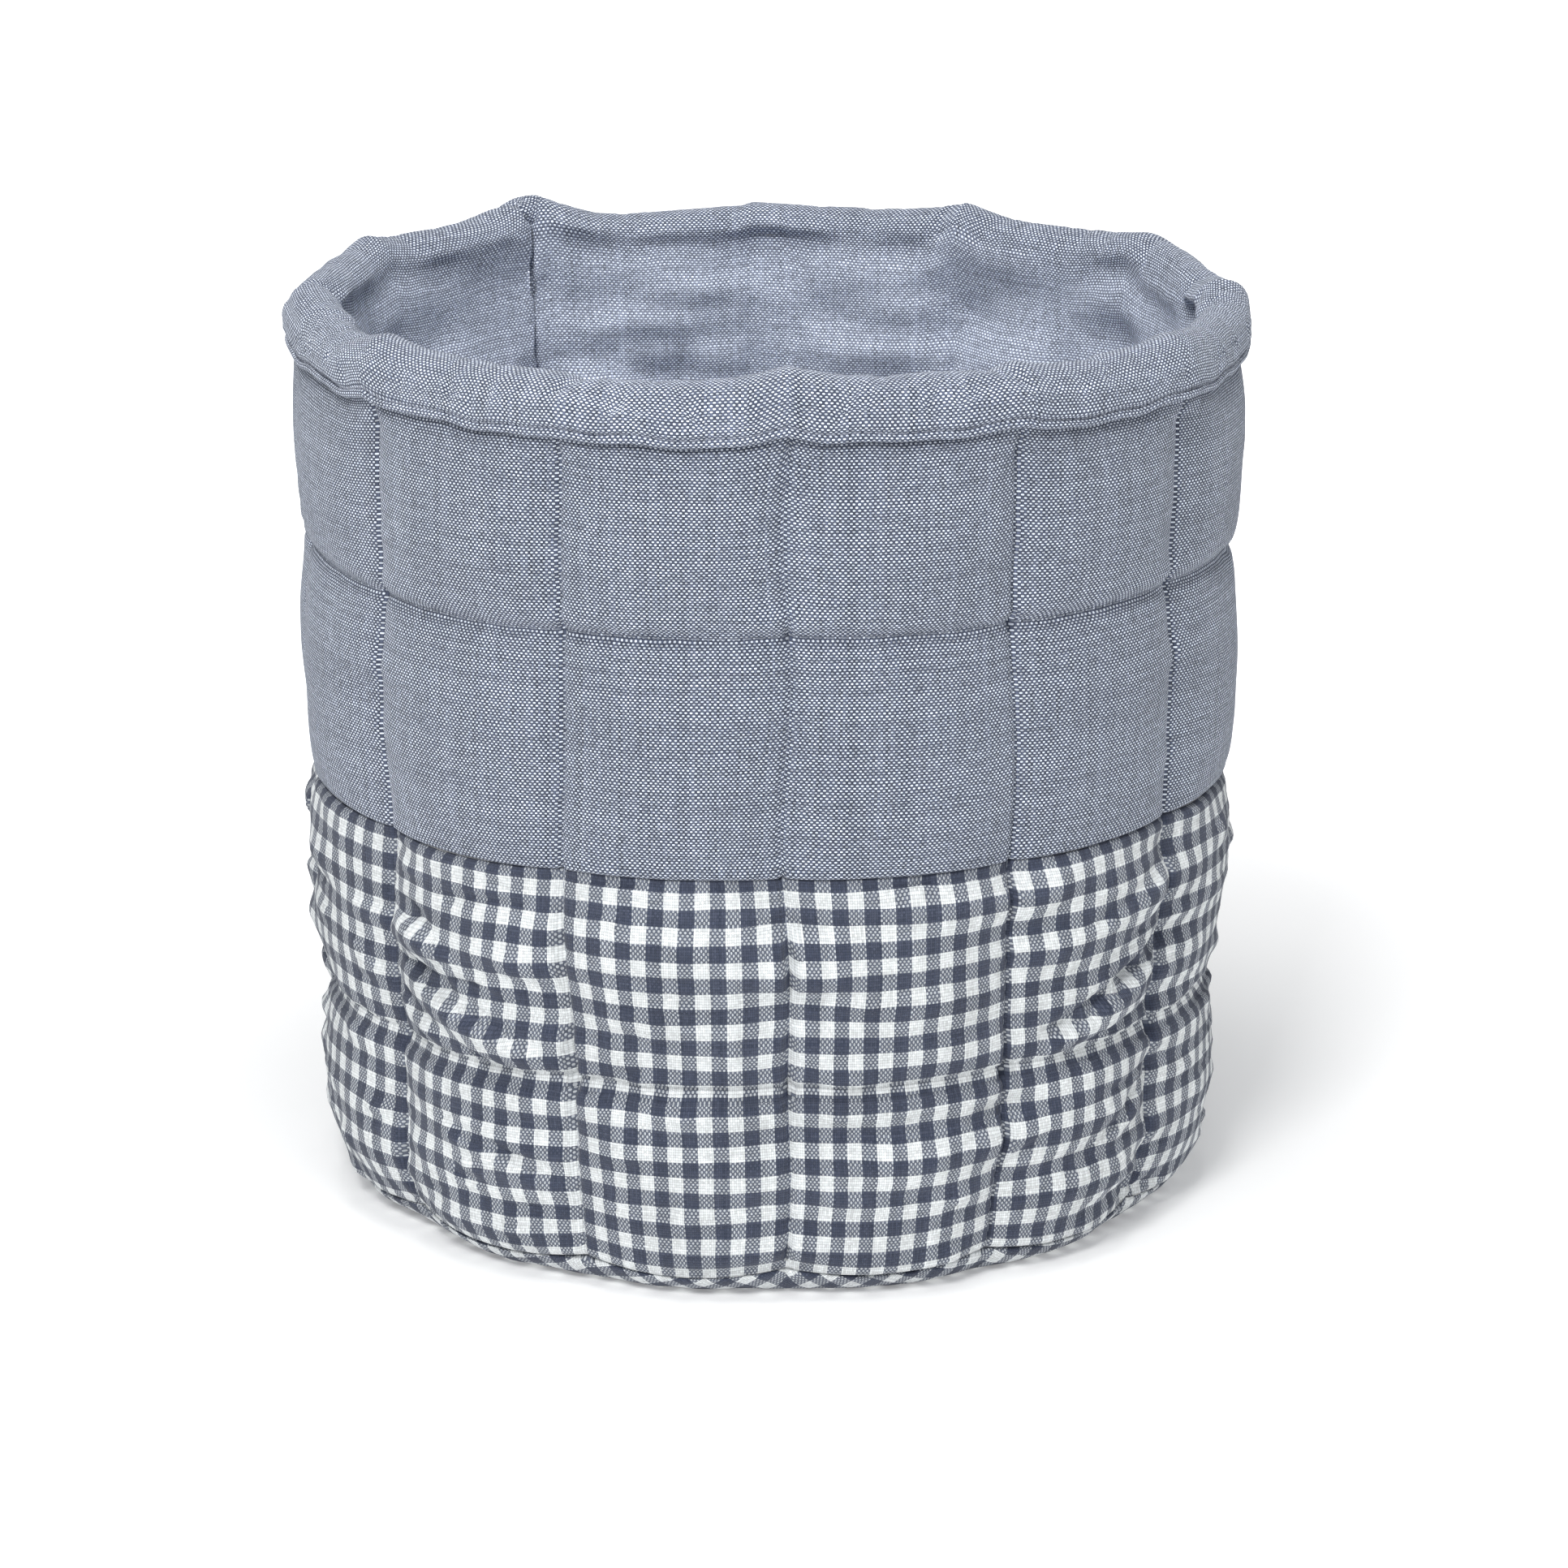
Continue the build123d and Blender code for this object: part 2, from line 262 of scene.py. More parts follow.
def wall_radius(z):
    band = min(bisect.bisect_right(LEVELS, z) - 1, 4)
    low, high = LEVELS[band:band + 2]
    low_radius, high_radius = LEVEL_RADII[band:band + 2]
    t = (z - low) / (high - low)
    amount, power = BULGES[band]
    radius = low_radius + (high_radius - low_radius) * t
    radius += amount * math.sin(math.pi * t) ** power
    # soft rolls just above the upper level line and just below the lower one
    radius += 0.8 * math.exp(-((z - HIGH_Z - 3.6) / 2.6) ** 2)
    radius += 0.9 * math.exp(-((z - LOW_Z + 4.5) / 3.0) ** 2)
    return radius


# the rows between two levels are even in number, so that each level falls on a refined row
profile = [(r, 0.0) for r in BASE_FLAT_RADII] + BASE_CORNER
outer_row = {"seam": len(profile)}
for tag, low, high in zip(("low", "panel", "high", "hem", "top"), LEVELS, LEVELS[1:]):
    count = even_count(high - low)
    heights = [low + (high - low) * j / count for j in range(count)]
    profile += [(wall_radius(z), z) for z in heights]
    outer_row[tag] = len(profile)
profile.append((wall_radius(TOP_Z), TOP_Z))
outer_radius, outer_z = np.array(profile).T.copy()
row_count = len(profile)
wall = np.arange(row_count) >= outer_row["seam"]

# the upright lines wander a little sideways
wander = np.zeros((row_count, COLUMNS))
for i, column in enumerate(line_cols):
    random = np.random.default_rng(40 + i)
    amount, phase = random.uniform(0.25, 0.7, 3), random.uniform(0, 6.28, 3)
    shift = sum(amount[k] * np.sin(outer_z / (60 / (k + 1)) * 2 + phase[k]) for k in range(3))
    near_line = np.exp(-(np.abs(columns_from(column)) / 10.0) ** 2)
    wander += shift[:, None] * near_line * wall[:, None]

# depth of the upright valleys, fading in from the base seam and out under the rim
fade = np.clip((outer_z - 6) / 14, 0.25, 1) * np.clip((203.5 - outer_z) / 7, 0, 1) * wall
valley_depth = np.where(outer_z < PANEL_Z, 3.6, 3.3) * fade
radius = outer_radius[:, None] - valley_depth[:, None] * (1 - between ** 0.48)
# scalloped base seam: pinched up and in on the lines, full and low between them
near_seam = np.exp(-((np.arange(row_count) - outer_row["seam"]) / 6.0) ** 2)[:, None]
pinch = (1 - between) ** 1.2
height = outer_z[:, None] + (
    near_seam * (1.3 * pinch - between) * np.where(outer_z[:, None] < 1.0, 0, 1))
radius = radius - near_seam * 0.9 * pinch + near_seam * 0.9 * between

pin = np.zeros((row_count, COLUMNS))
pin[:4] = 1
for tag in ("seam", "low", "panel", "high"):
    pin[outer_row[tag]] = 1
pin[outer_row["hem"]:] = 1
pin[outer_row["seam"]:, line_cols] = 1
free = pin == 0
is_gingham = ((outer_z < PANEL_Z) & wall)[:, None]
crumple = (0.30 * value_noise(row_count, COLUMNS, 4, 3, seed=1)
           + 0.5 * value_noise(row_count, COLUMNS, 9, 4, seed=2)
           + 0.75 * value_noise(row_count, COLUMNS, 24, 5, seed=3))
start = ring(radius, height, theta[None] + wander / COLUMN_RADIUS)
start = moved_out(start, free * (crumple * np.where(is_gingham, 1.5, 0.55)))

# folds of the gingham, each along a short line:
# start angle, start z, end angle, end z, width, amount
FOLDS = [
    (309, 74, 333, 59, 3.4, 4.4), (316, 38, 333, 28, 3.0, 2.8), (35, 58, 55, 72, 3.4, 4.4),
    (308, 88, 322, 78, 3.0, 2.0), (42, 84, 56, 92, 3.0, 2.0), (46, 30, 60, 44, 3.0, 2.4),
    (300, 70, 318, 58, 3.2, 2.6), (66, 60, 84, 45, 3.2, 2.6), (100, 40, 118, 56, 3.2, 2.6),
    (128, 62, 146, 50, 3.2, 2.6), (160, 44, 178, 58, 3.2, 2.4), (190, 66, 206, 50, 3.2, 2.6),
    (222, 40, 238, 54, 3.2, 2.6), (250, 60, 268, 48, 3.2, 2.6), (284, 42, 300, 56, 3.2, 2.6),
    (345, 22, 357, 27, 3.0, 1.6), (6, 30, 22, 24, 3.0, 1.6), (340, 72, 352, 76, 3.0, 1.0),
    (8, 80, 24, 74, 3.0, 1.0),
]
MM_PER_DEGREE = 2.0       # on the unrolled wall
FOLD_GAIN = 0.66


def short_way(degrees):
    return (degrees + 180) % 360 - 180


def fold_profile(angle0, z0, angle1, z1, width):
    """Cross-section of a fold: a sharp crease with a soft ridge on one side."""
    x = short_way(angles - angle0)[None] * MM_PER_DEGREE
    z = outer_z[:, None] - z0
    line_x, line_z = short_way(angle1 - angle0) * MM_PER_DEGREE, float(z1 - z0)
    t = np.clip((x * line_x + z * line_z) / (line_x * line_x + line_z * line_z), 0, 1)
    side = np.sign(x * line_z - z * line_x)
    distance = np.hypot(x - t * line_x, z - t * line_z) * side
    ridge = np.exp(-((distance - width) / width) ** 2)
    crease = 1.15 * np.exp(-(distance / (0.55 * width)) ** 2)
    return (ridge - crease) * np.exp(-(np.abs(t - 0.5) * 2) ** 4)


clear_of_lines = (np.clip(between * 3.0, 0, 1)
                  * np.clip(np.abs(outer_z - LOW_Z) / 6, 0, 1)[:, None]
                  * np.clip(np.abs(outer_z - PANEL_Z) / 6, 0, 1)[:, None])
for *place, amount in FOLDS:
    fold = fold_profile(*place) * clear_of_lines
    if 60 <= place[0] <= 295:
        fold = 0.55 * fold        # shallower away from the front
    start = moved_out(start, free * is_gingham * fold * amount * FOLD_GAIN)

rest = slack_shape(outer_radius, outer_z,
                   slack_across=np.where(outer_z < PANEL_Z, 0.050, 0.028),
                   slack_up=np.where(outer_z < PANEL_Z, 0.105, 0.030))
outer = settle("outer_sheet", start, rest, pin, push=np.where(is_gingham, 0.5, 1.0),
               frames=20, cap=7.0)

# ------------------------------------------------------------------ lining sheet
# One grid from the tucked hem outside, over the rim roll and down the inside wall.
# radius, z, pinned
HEM_TUCK = [
    (112.15, 207.8, 1), (112.1, 205.6, 1), (112.1, 203.7, 1), (112.35, 202.7, 1),
    (112.9, 202.25, 1), (113.55, 202.4, 1), (114.0, 202.9, 1), (114.1, 203.6, 1),
]
RIM_SIDE = [
    (113.65, 204.4, 1), (113.95, 205.4, 0), (114.15, 206.6, 0), (114.2, 207.9, 0),
    (114.15, 209.2, 0), (113.95, 210.4, 0),
]
ROLL_RADIUS, ROLL_Z = 107.9, 210.6        # centre of the rim roll
ROLL_HALF_WIDTH, ROLL_HALF_HEIGHT = 6.0, 5.7
ROLL_STEPS = 14
INSIDE_TOP, INSIDE_FOOT = 210.7, 8.3
INSIDE_TOP_RADIUS, INSIDE_FOOT_RADIUS = 101.8, 99.4

profile = HEM_TUCK + RIM_SIDE
for k in range(1, ROLL_STEPS):
    a = math.pi * k / ROLL_STEPS
    profile.append((ROLL_RADIUS + ROLL_HALF_WIDTH * math.cos(a),
                    ROLL_Z + ROLL_HALF_HEIGHT * math.sin(a), 0))
lining_row = {"stitch": len(HEM_TUCK), "inner_top": len(profile)}
for z in np.linspace(INSIDE_TOP, INSIDE_FOOT, 94):
    rise = (INSIDE_TOP_RADIUS - INSIDE_FOOT_RADIUS) * (z - INSIDE_FOOT)
    profile.append((INSIDE_FOOT_RADIUS + rise / (INSIDE_TOP - INSIDE_FOOT), z, z < 12))
row_count = len(profile)
lining_radius, lining_z, lining_pin = np.array(profile, float).T.copy()
pin = np.repeat(lining_pin[:, None], COLUMNS, 1)
inside = np.arange(row_count) > lining_row["inner_top"]

# soft creases inside, where the padded wall folds at each upright line
crease = smoothstep(np.where(inside, np.clip((208 - lining_z) / 32, 0, 1), 0))
radius = lining_radius[:, None] - crease[:, None] * (3.3 * between ** 0.7 - 2.4)
held = np.nonzero(inside & (lining_z < 200) & (lining_z > 12))[0][::5]
pin[np.ix_(held, line_cols)] = 0.6 * np.clip((206 - lining_z[held]) / 45, 0, 1)[:, None]
# the lining's own seam is drawn tight
seam_col = int(np.argmin(np.abs(angles - LINING_SEAM)))
tight = inside & (lining_z < 203)
pin[tight, seam_col] = 1
radius[tight, seam_col] += 0.9

# slack bulges of the lining: angle, z, angle width, z width, amount inwards
LINING_BULGES = [
    (284, 193, 7, 17, 7.0), (271, 188, 5, 12, 3.6), (205, 170, 6, 7, 6.0),
    (197, 187, 10, 4.5, 3.0), (190, 196, 8, 3.5, 2.2), (192, 179, 8, 3.5, 2.0),
    (164, 192, 9, 4, 2.2), (160, 181, 9, 4, 1.8), (226, 168, 7, 16, 2.0),
    (170, 178, 9, 10, 1.6), (150, 150, 10, 14, 1.8), (60, 170, 9, 14, 2.2),
    (95, 185, 7, 12, 2.0), (120, 160, 9, 9, 1.6),
]
start = ring(radius, lining_z[:, None], theta[None])
for angle, z, angle_width, z_width, amount in LINING_BULGES:
    across = short_way(np.degrees(theta) - angle) / angle_width
    bulge = np.exp(-across ** 2 - ((lining_z[:, None] - z) / z_width) ** 2)
    start = moved_out(start, -(amount * (bulge * inside[:, None])))
side = np.where(inside, -1.0, 0.3)[:, None]
side[:lining_row["stitch"]] = 0
wrinkle = (0.25 * value_noise(row_count, COLUMNS, 5, 3, seed=21)
           + 0.55 * value_noise(row_count, COLUMNS, 12, 4, seed=22)
           + 0.6 * value_noise(row_count, COLUMNS, 26, 7, seed=23))
start = moved_out(start, (pin == 0) * side * wrinkle * 2.0)
rest = slack_shape(lining_radius, lining_z, slack_across=np.where(inside, 0.030, 0.035),
                   slack_up=np.where(inside, 0.060, 0.02))
lining = settle("lining_sheet", start, rest, pin, push=np.where(inside, 0.3, 1.0)[:, None],
                frames=16, cap=5.0)

# the wadding keeps the roll in shape: only the wrinkles of the settled cloth are kept there
move = lining - start
mean_out = (move * outward).sum(-1).mean(1, keepdims=True)
mean_up = move[..., 2].mean(1, keepdims=True)
hold = np.where(np.arange(row_count) < lining_row["inner_top"] + 2, 1.0,
                np.clip((lining_z - 120) / 90, 0.5, 1.0))[:, None]
lining = moved_out(lining, -hold * mean_out)
lining[..., 2] -= hold * mean_up

# the folds start softly under the roll, except at the lining's own seam
calm = lining.copy()
for _ in range(14):
    calm = (np.roll(calm, 1, 1) + 2 * calm + np.roll(calm, -1, 1)) / 4
soft = np.where(inside, np.clip((lining_z - 180) / 14, 0, 1), 0)[:, None]
off_seam = 1 - np.exp(-(columns_from(seam_col) / 7.0) ** 2)
lining += (soft * off_seam)[..., None] * (calm - lining)

# ------------------------------------------------------------------ refined grids
outer, lining = refine(outer), refine(lining)
FINE = outer.shape[1]
fine_at = np.arange(FINE) / REFINE
fine_deg = np.degrees(np.interp(fine_at, np.arange(COLUMNS + 1),
                                np.append(theta, theta[0] + 2 * math.pi)))
fine_theta = np.radians(fine_deg)
fine_between = np.interp(fine_at, np.arange(COLUMNS + 1), np.append(between, between[0]))
fine_out = directions(fine_theta)
fine_lines = [refined(column) for column in line_cols]
seam_row, panel_row, hem_row = (refined(outer_row[tag]) for tag in ("seam", "panel", "hem"))
stitch_row, inner_row = (refined(lining_row[tag]) for tag in ("stitch", "inner_top"))


def fine_lengths(grid, radii, heights):
    lengths = path_length(radii, heights)
    return np.interp(np.arange(len(grid)) / REFINE, np.arange(len(radii)), lengths)


# distances on the cloth, in mm: across from the seam, and up or along the profile
outer_across = ((fine_deg - SIDE_SEAM) % 360) / 360 * 2 * math.pi * 112.5
outer_along = fine_lengths(outer, outer_radius, outer_z)
lining_across = ((fine_deg - LINING_SEAM) % 360) / 360 * 2 * math.pi * 108
lining_along = fine_lengths(lining, lining_radius, lining_z)
# where the lining's softening and painted light begin, 6 mm before the top of its inside wall
soft_painted_light_start = float(path_length(lining_radius, lining_z)[lining_row["inner_top"]]) - 6.0

# the needle draws each stitched line down sharply
top, foot = inner_row + 8, len(lining) - 12
ease = np.clip((np.arange(foot - top) - 6) / 30, 0, 1)[:, None]
for line in fine_lines:
    for k, depth in ((-2, 0.15), (-1, 0.45), (0, 0.85), (1, 0.45), (2, 0.15)):
        column = (line + k) % FINE
        lining[top:foot, column] += ease * depth * fine_out[column]
normals = grid_normals(outer)
drawn = slice(seam_row + 3, hem_row)
outer[drawn, fine_lines] -= 0.95 * normals[drawn, fine_lines]
for tag, depths in (("low", (0.3, 0.9, 1.5, 0.8, 0.2)), ("high", (0.15, 0.4, 0.7, 0.4, 0.15))):
    for k, depth in enumerate(depths):
        row = refined(outer_row[tag]) + k - 2
        outer[row] -= depth * normals[row]
outer_normals = grid_normals(outer)

# the hem stitching dents the lining
normals = grid_normals(lining)
for k, amount in ((0, -0.35), (-1, 0.15), (2, 0.25)):
    lining[stitch_row + k] += amount * normals[stitch_row + k]
lining_normals = grid_normals(lining)

# ------------------------------------------------------------------ leaving the true round
# waves round the basket: amount in mm (except LINE_LIFT), count, phase
RADIUS_WAVES = [(1.3, 2, -1.5), (0.9, 3, 0.6), (0.4, 5, 2.0)]
LINE_LIFT = [(0.45, 5, 0.4), (0.3, 9, 2.0)]     # share of the lift at the lines
MOUTH_WAVES = [(0.7, 3, 1.1), (0.4, 7, 0.0)]
HEM_WAVES = [(0.28, 15, 0.7), (0.22, 26, 1.9), (0.20, 43, 0.0)]
WALL_WAVES = [(0.7, 2, 0.4), (0.4, 5, 2.2)]

_order = np.argsort(fine_deg % 360)
_first = fine_between[_order][0]
WARP_ANGLES = np.concatenate([[-1e-6], (fine_deg % 360)[_order], [360.0]])
WARP_BETWEEN = np.concatenate([[_first], fine_between[_order], [_first]])


def waves(angle, table, wave=np.sin):
    return sum(amount * wave(count * angle + phase) for amount, count, phase in table)


def warp(points):
    """Adds flats between the upright lines, a soft lean and a wavy mouth."""
    x, y, z = points[..., 0], points[..., 1], points[..., 2]
    radius = np.hypot(x, y)
    t = np.arctan2(x, -y)
    mid = np.interp(np.degrees(t) % 360, WARP_ANGLES, WARP_BETWEEN)
    up = np.clip(z / HEIGHT, 0, 1)
    out = -(0.4 + 1.1 * up ** 2) * mid ** 1.3
    out += (0.3 + 0.7 * up) * waves(t, RADIUS_WAVES, np.cos) - 0.4 * up
    out -= 4.2 * np.clip(1 - z / 42, 0, 1) ** 1.6         # drawn in towards the foot
    new_radius = radius + out * np.clip(radius / 60, 0, 1)
    mouth = np.clip((z - 150) / 60, 0, 1) ** 1.5
    line_lift = 1.35 * (1.0 + waves(t, LINE_LIFT)) * (1 - mid) ** 2.4
    rise = mouth * (line_lift - 0.7 - 0.4 * mid + waves(t, MOUTH_WAVES))
    rise += np.exp(-((z - 204.5) / 5.5) ** 2) * waves(t, HEM_WAVES)
    rise += np.clip(z / 40, 0, 1) * np.clip((205 - z) / 40, 0, 1) * waves(t, WALL_WAVES)
    return ring(new_radius, z + rise, t)


# ------------------------------------------------------------------ meshes
def build(name, part, verts, faces, uvs, material):
    """One closed piece, warped. faces: index arrays of quads or triangles; uvs: one array
    per face array, with a (u, v) in mm for each corner."""
    mesh = bpy.data.meshes.new(name)
    corners = np.concatenate([f.reshape(-1) for f in faces]).astype(np.int32)
    starts, used = [], 0
    for f in faces:
        starts.append(used + np.arange(len(f)) * f.shape[1])
        used += f.size
    starts = np.concatenate(starts).astype(np.int32)
    mesh.vertices.add(len(verts))
    mesh.vertices.foreach_set("co", (warp(verts) * MM).reshape(-1).astype(np.float32))
    mesh.loops.add(len(corners))
    mesh.loops.foreach_set("vertex_index", corners)
    mesh.polygons.add(len(starts))
    mesh.polygons.foreach_set("loop_start", starts)
    mesh.update(calc_edges=True)
    layer = mesh.uv_layers.new(name="UVMap")
    flat_uvs = np.concatenate([uv.reshape(-1, 2) for uv in uvs])
    layer.data.foreach_set("uv", (flat_uvs * MM).reshape(-1).astype(np.float32))
    mesh.polygons.foreach_set("use_smooth", np.full(len(starts), True))
    mesh.validate()
    obj = bpy.data.objects.new(name, mesh)
    bpy.context.scene.collection.objects.link(obj)
    obj.data.materials.append(material)
    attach(obj, "root")
    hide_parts(part)


def strip(lower, upper):
    """Quads between two rings of vertex indices."""
    return np.stack([lower, np.roll(lower, -1), np.roll(upper, -1), upper], -1)


def strip_uv(across, low, high):
    """Corner uvs for strip(); u is carried on over the break at the seam."""
    after = np.roll(across, -1)
    after = np.where(after < across - 1, across + np.median((after - across) % 1e9), after)
    corners = ((across, low), (after, low), (after, high), (across, high))
    return np.stack([np.stack([u, v + 0 * u], -1) for u, v in corners], 1)


def fan(rim, centre, flip=False):
    """Triangles from a ring of vertex indices to a centre vertex."""
    after = np.roll(rim, -1)
    pair = (after, rim) if flip else (rim, after)
    return np.stack([*pair, np.full(len(rim), centre)], -1)


def disc_faces(rows, columns, flip=False):
    """Faces of a disc with thickness. Its vertices are the outside grid from the centre
    outwards, the same for the inside, then the two centres."""
    def join(a, b):
        return strip(b, a) if flip else strip(a, b)
    out = np.arange(rows * columns).reshape(rows, columns)
    inn = out + rows * columns
    centre = 2 * rows * columns
    faces = [join(out[j], out[j + 1]) for j in range(rows - 1)]
    faces += [join(inn[j + 1], inn[j]) for j in range(rows - 1)]
    faces.append(join(out[-1], inn[-1]))
    return faces + [fan(out[0], centre, not flip), fan(inn[0], centre + 1, flip)]


def sheet(name, part, points, across, along, thick, material, inner_step=4):
    """A closed cloth sheet: the outside face at full detail, and an inside face, with every
    inner_step-th row, a cloth thickness below it."""
    rows, columns, _ = points.shape
    keep = sorted(set(list(range(0, rows, inner_step)) + [rows - 1]))
    inner = points[keep] - grid_normals(points)[keep] * thick
    verts = np.concatenate([points.reshape(-1, 3), inner.reshape(-1, 3)])
    out = np.arange(rows * columns).reshape(rows, columns)
    inn = rows * columns + np.arange(len(keep) * columns).reshape(len(keep), columns)
    pieces = [(out[j], out[j + 1], along[j], along[j + 1]) for j in range(rows - 1)]
    pieces += [(inn[k + 1], inn[k], along[keep[k + 1]], along[keep[k]])
               for k in range(len(keep) - 1)]
    pieces.append((inn[0], out[0], along[0] - thick, along[0]))
    pieces.append((out[-1], inn[-1], along[-1], along[-1] + thick))
    faces = [strip(lower, upper) for lower, upper, _, _ in pieces]
    uvs = [strip_uv(across, low, high) for _, _, low, high in pieces]
    build(name, part, verts, faces, uvs, material)


# ------------------------------------------------------------------ material helpers
def operator(operation, swapped=False):
    def apply(self, other):
        first, second = (other, self) if swapped else (self, other)
        return self.graph.math(operation, first, second)
    return apply


class Signal:
    """A number in a material; arithmetic on it adds math nodes."""

    def __init__(self, graph, socket):
        self.graph = graph
        self.socket = socket

    __add__, __radd__ = operator("ADD"), operator("ADD", swapped=True)
    __sub__, __rsub__ = operator("SUBTRACT"), operator("SUBTRACT", swapped=True)
    __mul__, __truediv__, __pow__ = operator("MULTIPLY"), operator("DIVIDE"), operator("POWER")


class Nodes:
    """Short hand for a node material; u and v are millimetres on the cloth."""

    def __init__(self, name):
        self.mat = bpy.data.materials.new(name)
        self.mat.use_nodes = True
        self.tree = self.mat.node_tree
        self.bsdf = self.tree.nodes["Principled BSDF"]
        uv_map = self.tree.nodes.new("ShaderNodeUVMap")
        uv_map.uv_map = "UVMap"
        split = self.tree.nodes.new("ShaderNodeSeparateXYZ")
        self.tree.links.new(uv_map.outputs[0], split.inputs[0])
        self.u = Signal(self, split.outputs[0]) * 1000.0
        self.v = Signal(self, split.outputs[1]) * 1000.0

    def put(self, socket, value):
        if isinstance(value, Signal):
            value = value.socket
        if isinstance(value, bpy.types.NodeSocket):
            self.tree.links.new(value, socket)
        else:
            socket.default_value = value

    def math(self, operation, first, second=0.0, third=0.0, clamp=False):
        node = self.tree.nodes.new("ShaderNodeMath")
        node.operation = operation
        node.use_clamp = clamp
        for k, value in enumerate((first, second, third)):
            self.put(node.inputs[k], value)
        return Signal(self, node.outputs[0])

    def scale_add(self, value, factor, plus, clamp=False):
        return self.math("MULTIPLY_ADD", value, factor, plus, clamp)

    def swing(self, value, amount):
        """Turns 0..1 into a variation of the given range about zero."""
        return self.scale_add(value, amount, -amount / 2)

    def vec(self, x, y, z=0.0):
        node = self.tree.nodes.new("ShaderNodeCombineXYZ")
        for k, value in enumerate((x, y, z)):
            self.put(node.inputs[k], value)
        return node.outputs[0]

    def noise(self, vector, detail, rough=0.5):
        node = self.tree.nodes.new("ShaderNodeTexNoise")
        self.put(node.inputs["Vector"], vector)
        node.inputs["Scale"].default_value = 1.0
        node.inputs["Detail"].default_value = detail
        node.inputs["Roughness"].default_value = rough
        return Signal(self, node.outputs["Fac"])

    def cloth_noise(self, per_u, per_v, offset=0.0, detail=3.0, rough=0.5):
        """Noise with the given features per mm across and up the cloth."""
        return self.noise(self.vec(self.u * per_u, self.v * per_v, offset), detail, rough)

    def white(self, x, y):
        node = self.tree.nodes.new("ShaderNodeTexWhiteNoise")
        node.noise_dimensions = "2D"
        self.put(node.inputs["Vector"], self.vec(x, y))
        return Signal(self, node.outputs["Value"])

    def mix(self, factor, a, b, mode="MIX"):
        node = self.tree.nodes.new("ShaderNodeMix")
        node.data_type = "RGBA"
        node.blend_type = mode
        self.put(node.inputs[0], factor)
        for k, colour in ((6, a), (7, b)):
            self.put(node.inputs[k], colour + (1.0,) if isinstance(colour, tuple) else colour)
        return node.outputs[2]

    def scale(self, colour, factor):
        node = self.tree.nodes.new("ShaderNodeVectorMath")
        node.operation = "SCALE"
        self.put(node.inputs[0], colour)
        self.put(node.inputs["Scale"], factor)
        return node.outputs[0]

    def bump(self, height, depth, strength, under=None):
        """Relief with a depth in mm, laid over another normal if given."""
        node = self.tree.nodes.new("ShaderNodeBump")
        node.inputs["Strength"].default_value = strength
        node.inputs["Distance"].default_value = depth * MM
        self.put(node.inputs["Height"], height)
        if under is not None:
            self.put(node.inputs["Normal"], under)
        return node.outputs[0]

    def surface(self, values):
        for name, value in values.items():
            self.put(self.bsdf.inputs[name], value)
        return self.mat


def weave(n, u, v, pitch_u, pitch_v, warp_colour, weft_colour, contrast, uneven, each,
          weft_float, warp_float, gap=0.8):
    """Plain weave; returns (colour, height).

    contrast: painted shade across a thread, darker towards its edges. uneven: light and dark
    along threads. each: the same per crossing. weft_float, warp_float: half size (u, v) of a
    crossing with that thread on top, in half pitches. gap: brightness between threads, painted
    shade.
    """
    wobble_u = (n.noise(n.vec(u * 0.25, v * 0.09), detail=1.0) - 0.5) * 1.1
    wobble_v = (n.noise(n.vec(u * 0.09, v * 0.25, 7.0), detail=1.0) - 0.5) * 1.1
    thread_u = u / pitch_u + wobble_u
    thread_v = v / pitch_v + wobble_v
    iu, iv = n.math("FLOOR", thread_u), n.math("FLOOR", thread_v)
    fu, fv = n.math("FRACT", thread_u), n.math("FRACT", thread_v)
    # 1 where the weft lies on top
    weft = n.math("GREATER_THAN", n.math("FRACT", (iu + iv) * 0.5), 0.25)
    off_u = n.math("ABSOLUTE", n.scale_add(fu, 2.0, -1.0))
    off_v = n.math("ABSOLUTE", n.scale_add(fv, 2.0, -1.0))
    size_u = weft * weft_float[0] + (1.0 - weft) * warp_float[0]
    size_v = weft * weft_float[1] + (1.0 - weft) * warp_float[1]
    edge = (off_u / size_u) ** 2.2 + (off_v / size_v) ** 2.2
    height = n.math("SUBTRACT", 1.0, edge * 0.8, clamp=True)
    mask = n.scale_add(edge, -2.2, 2.75, clamp=True)
    # thick and thin places along each thread
    warp_vary = ((n.white(iu, 3.0) - 0.5) * uneven
                 + (n.noise(n.vec(iu * 1.7, v * 0.10), detail=2.0) - 0.5) * (uneven * 2.4))
    weft_vary = ((n.white(iv, 9.0) - 0.5) * uneven
                 + (n.noise(n.vec(u * 0.22, iv * 1.7, 4.0), detail=2.0) - 0.5) * (uneven * 2.4))
    own = (n.white(iu + 0.5, iv + 0.5) - 0.5) * each
    vary = (1.0 + own) + (warp_vary * (1.0 - weft) + weft_vary * weft)
    # painted shade: each thread darkens towards its edges (lit), and the gaps between threads
    # take the darker colour times gap (under)
    lit = n.scale_add(height ** 0.6, contrast, 1.0 - contrast)
    under = n.scale(n.mix(1.0, warp_colour, weft_colour, "DARKEN"), gap)
    colour = n.mix(mask, under, n.mix(weft, warp_colour, weft_colour))
    return n.scale(colour, lit * vary), height


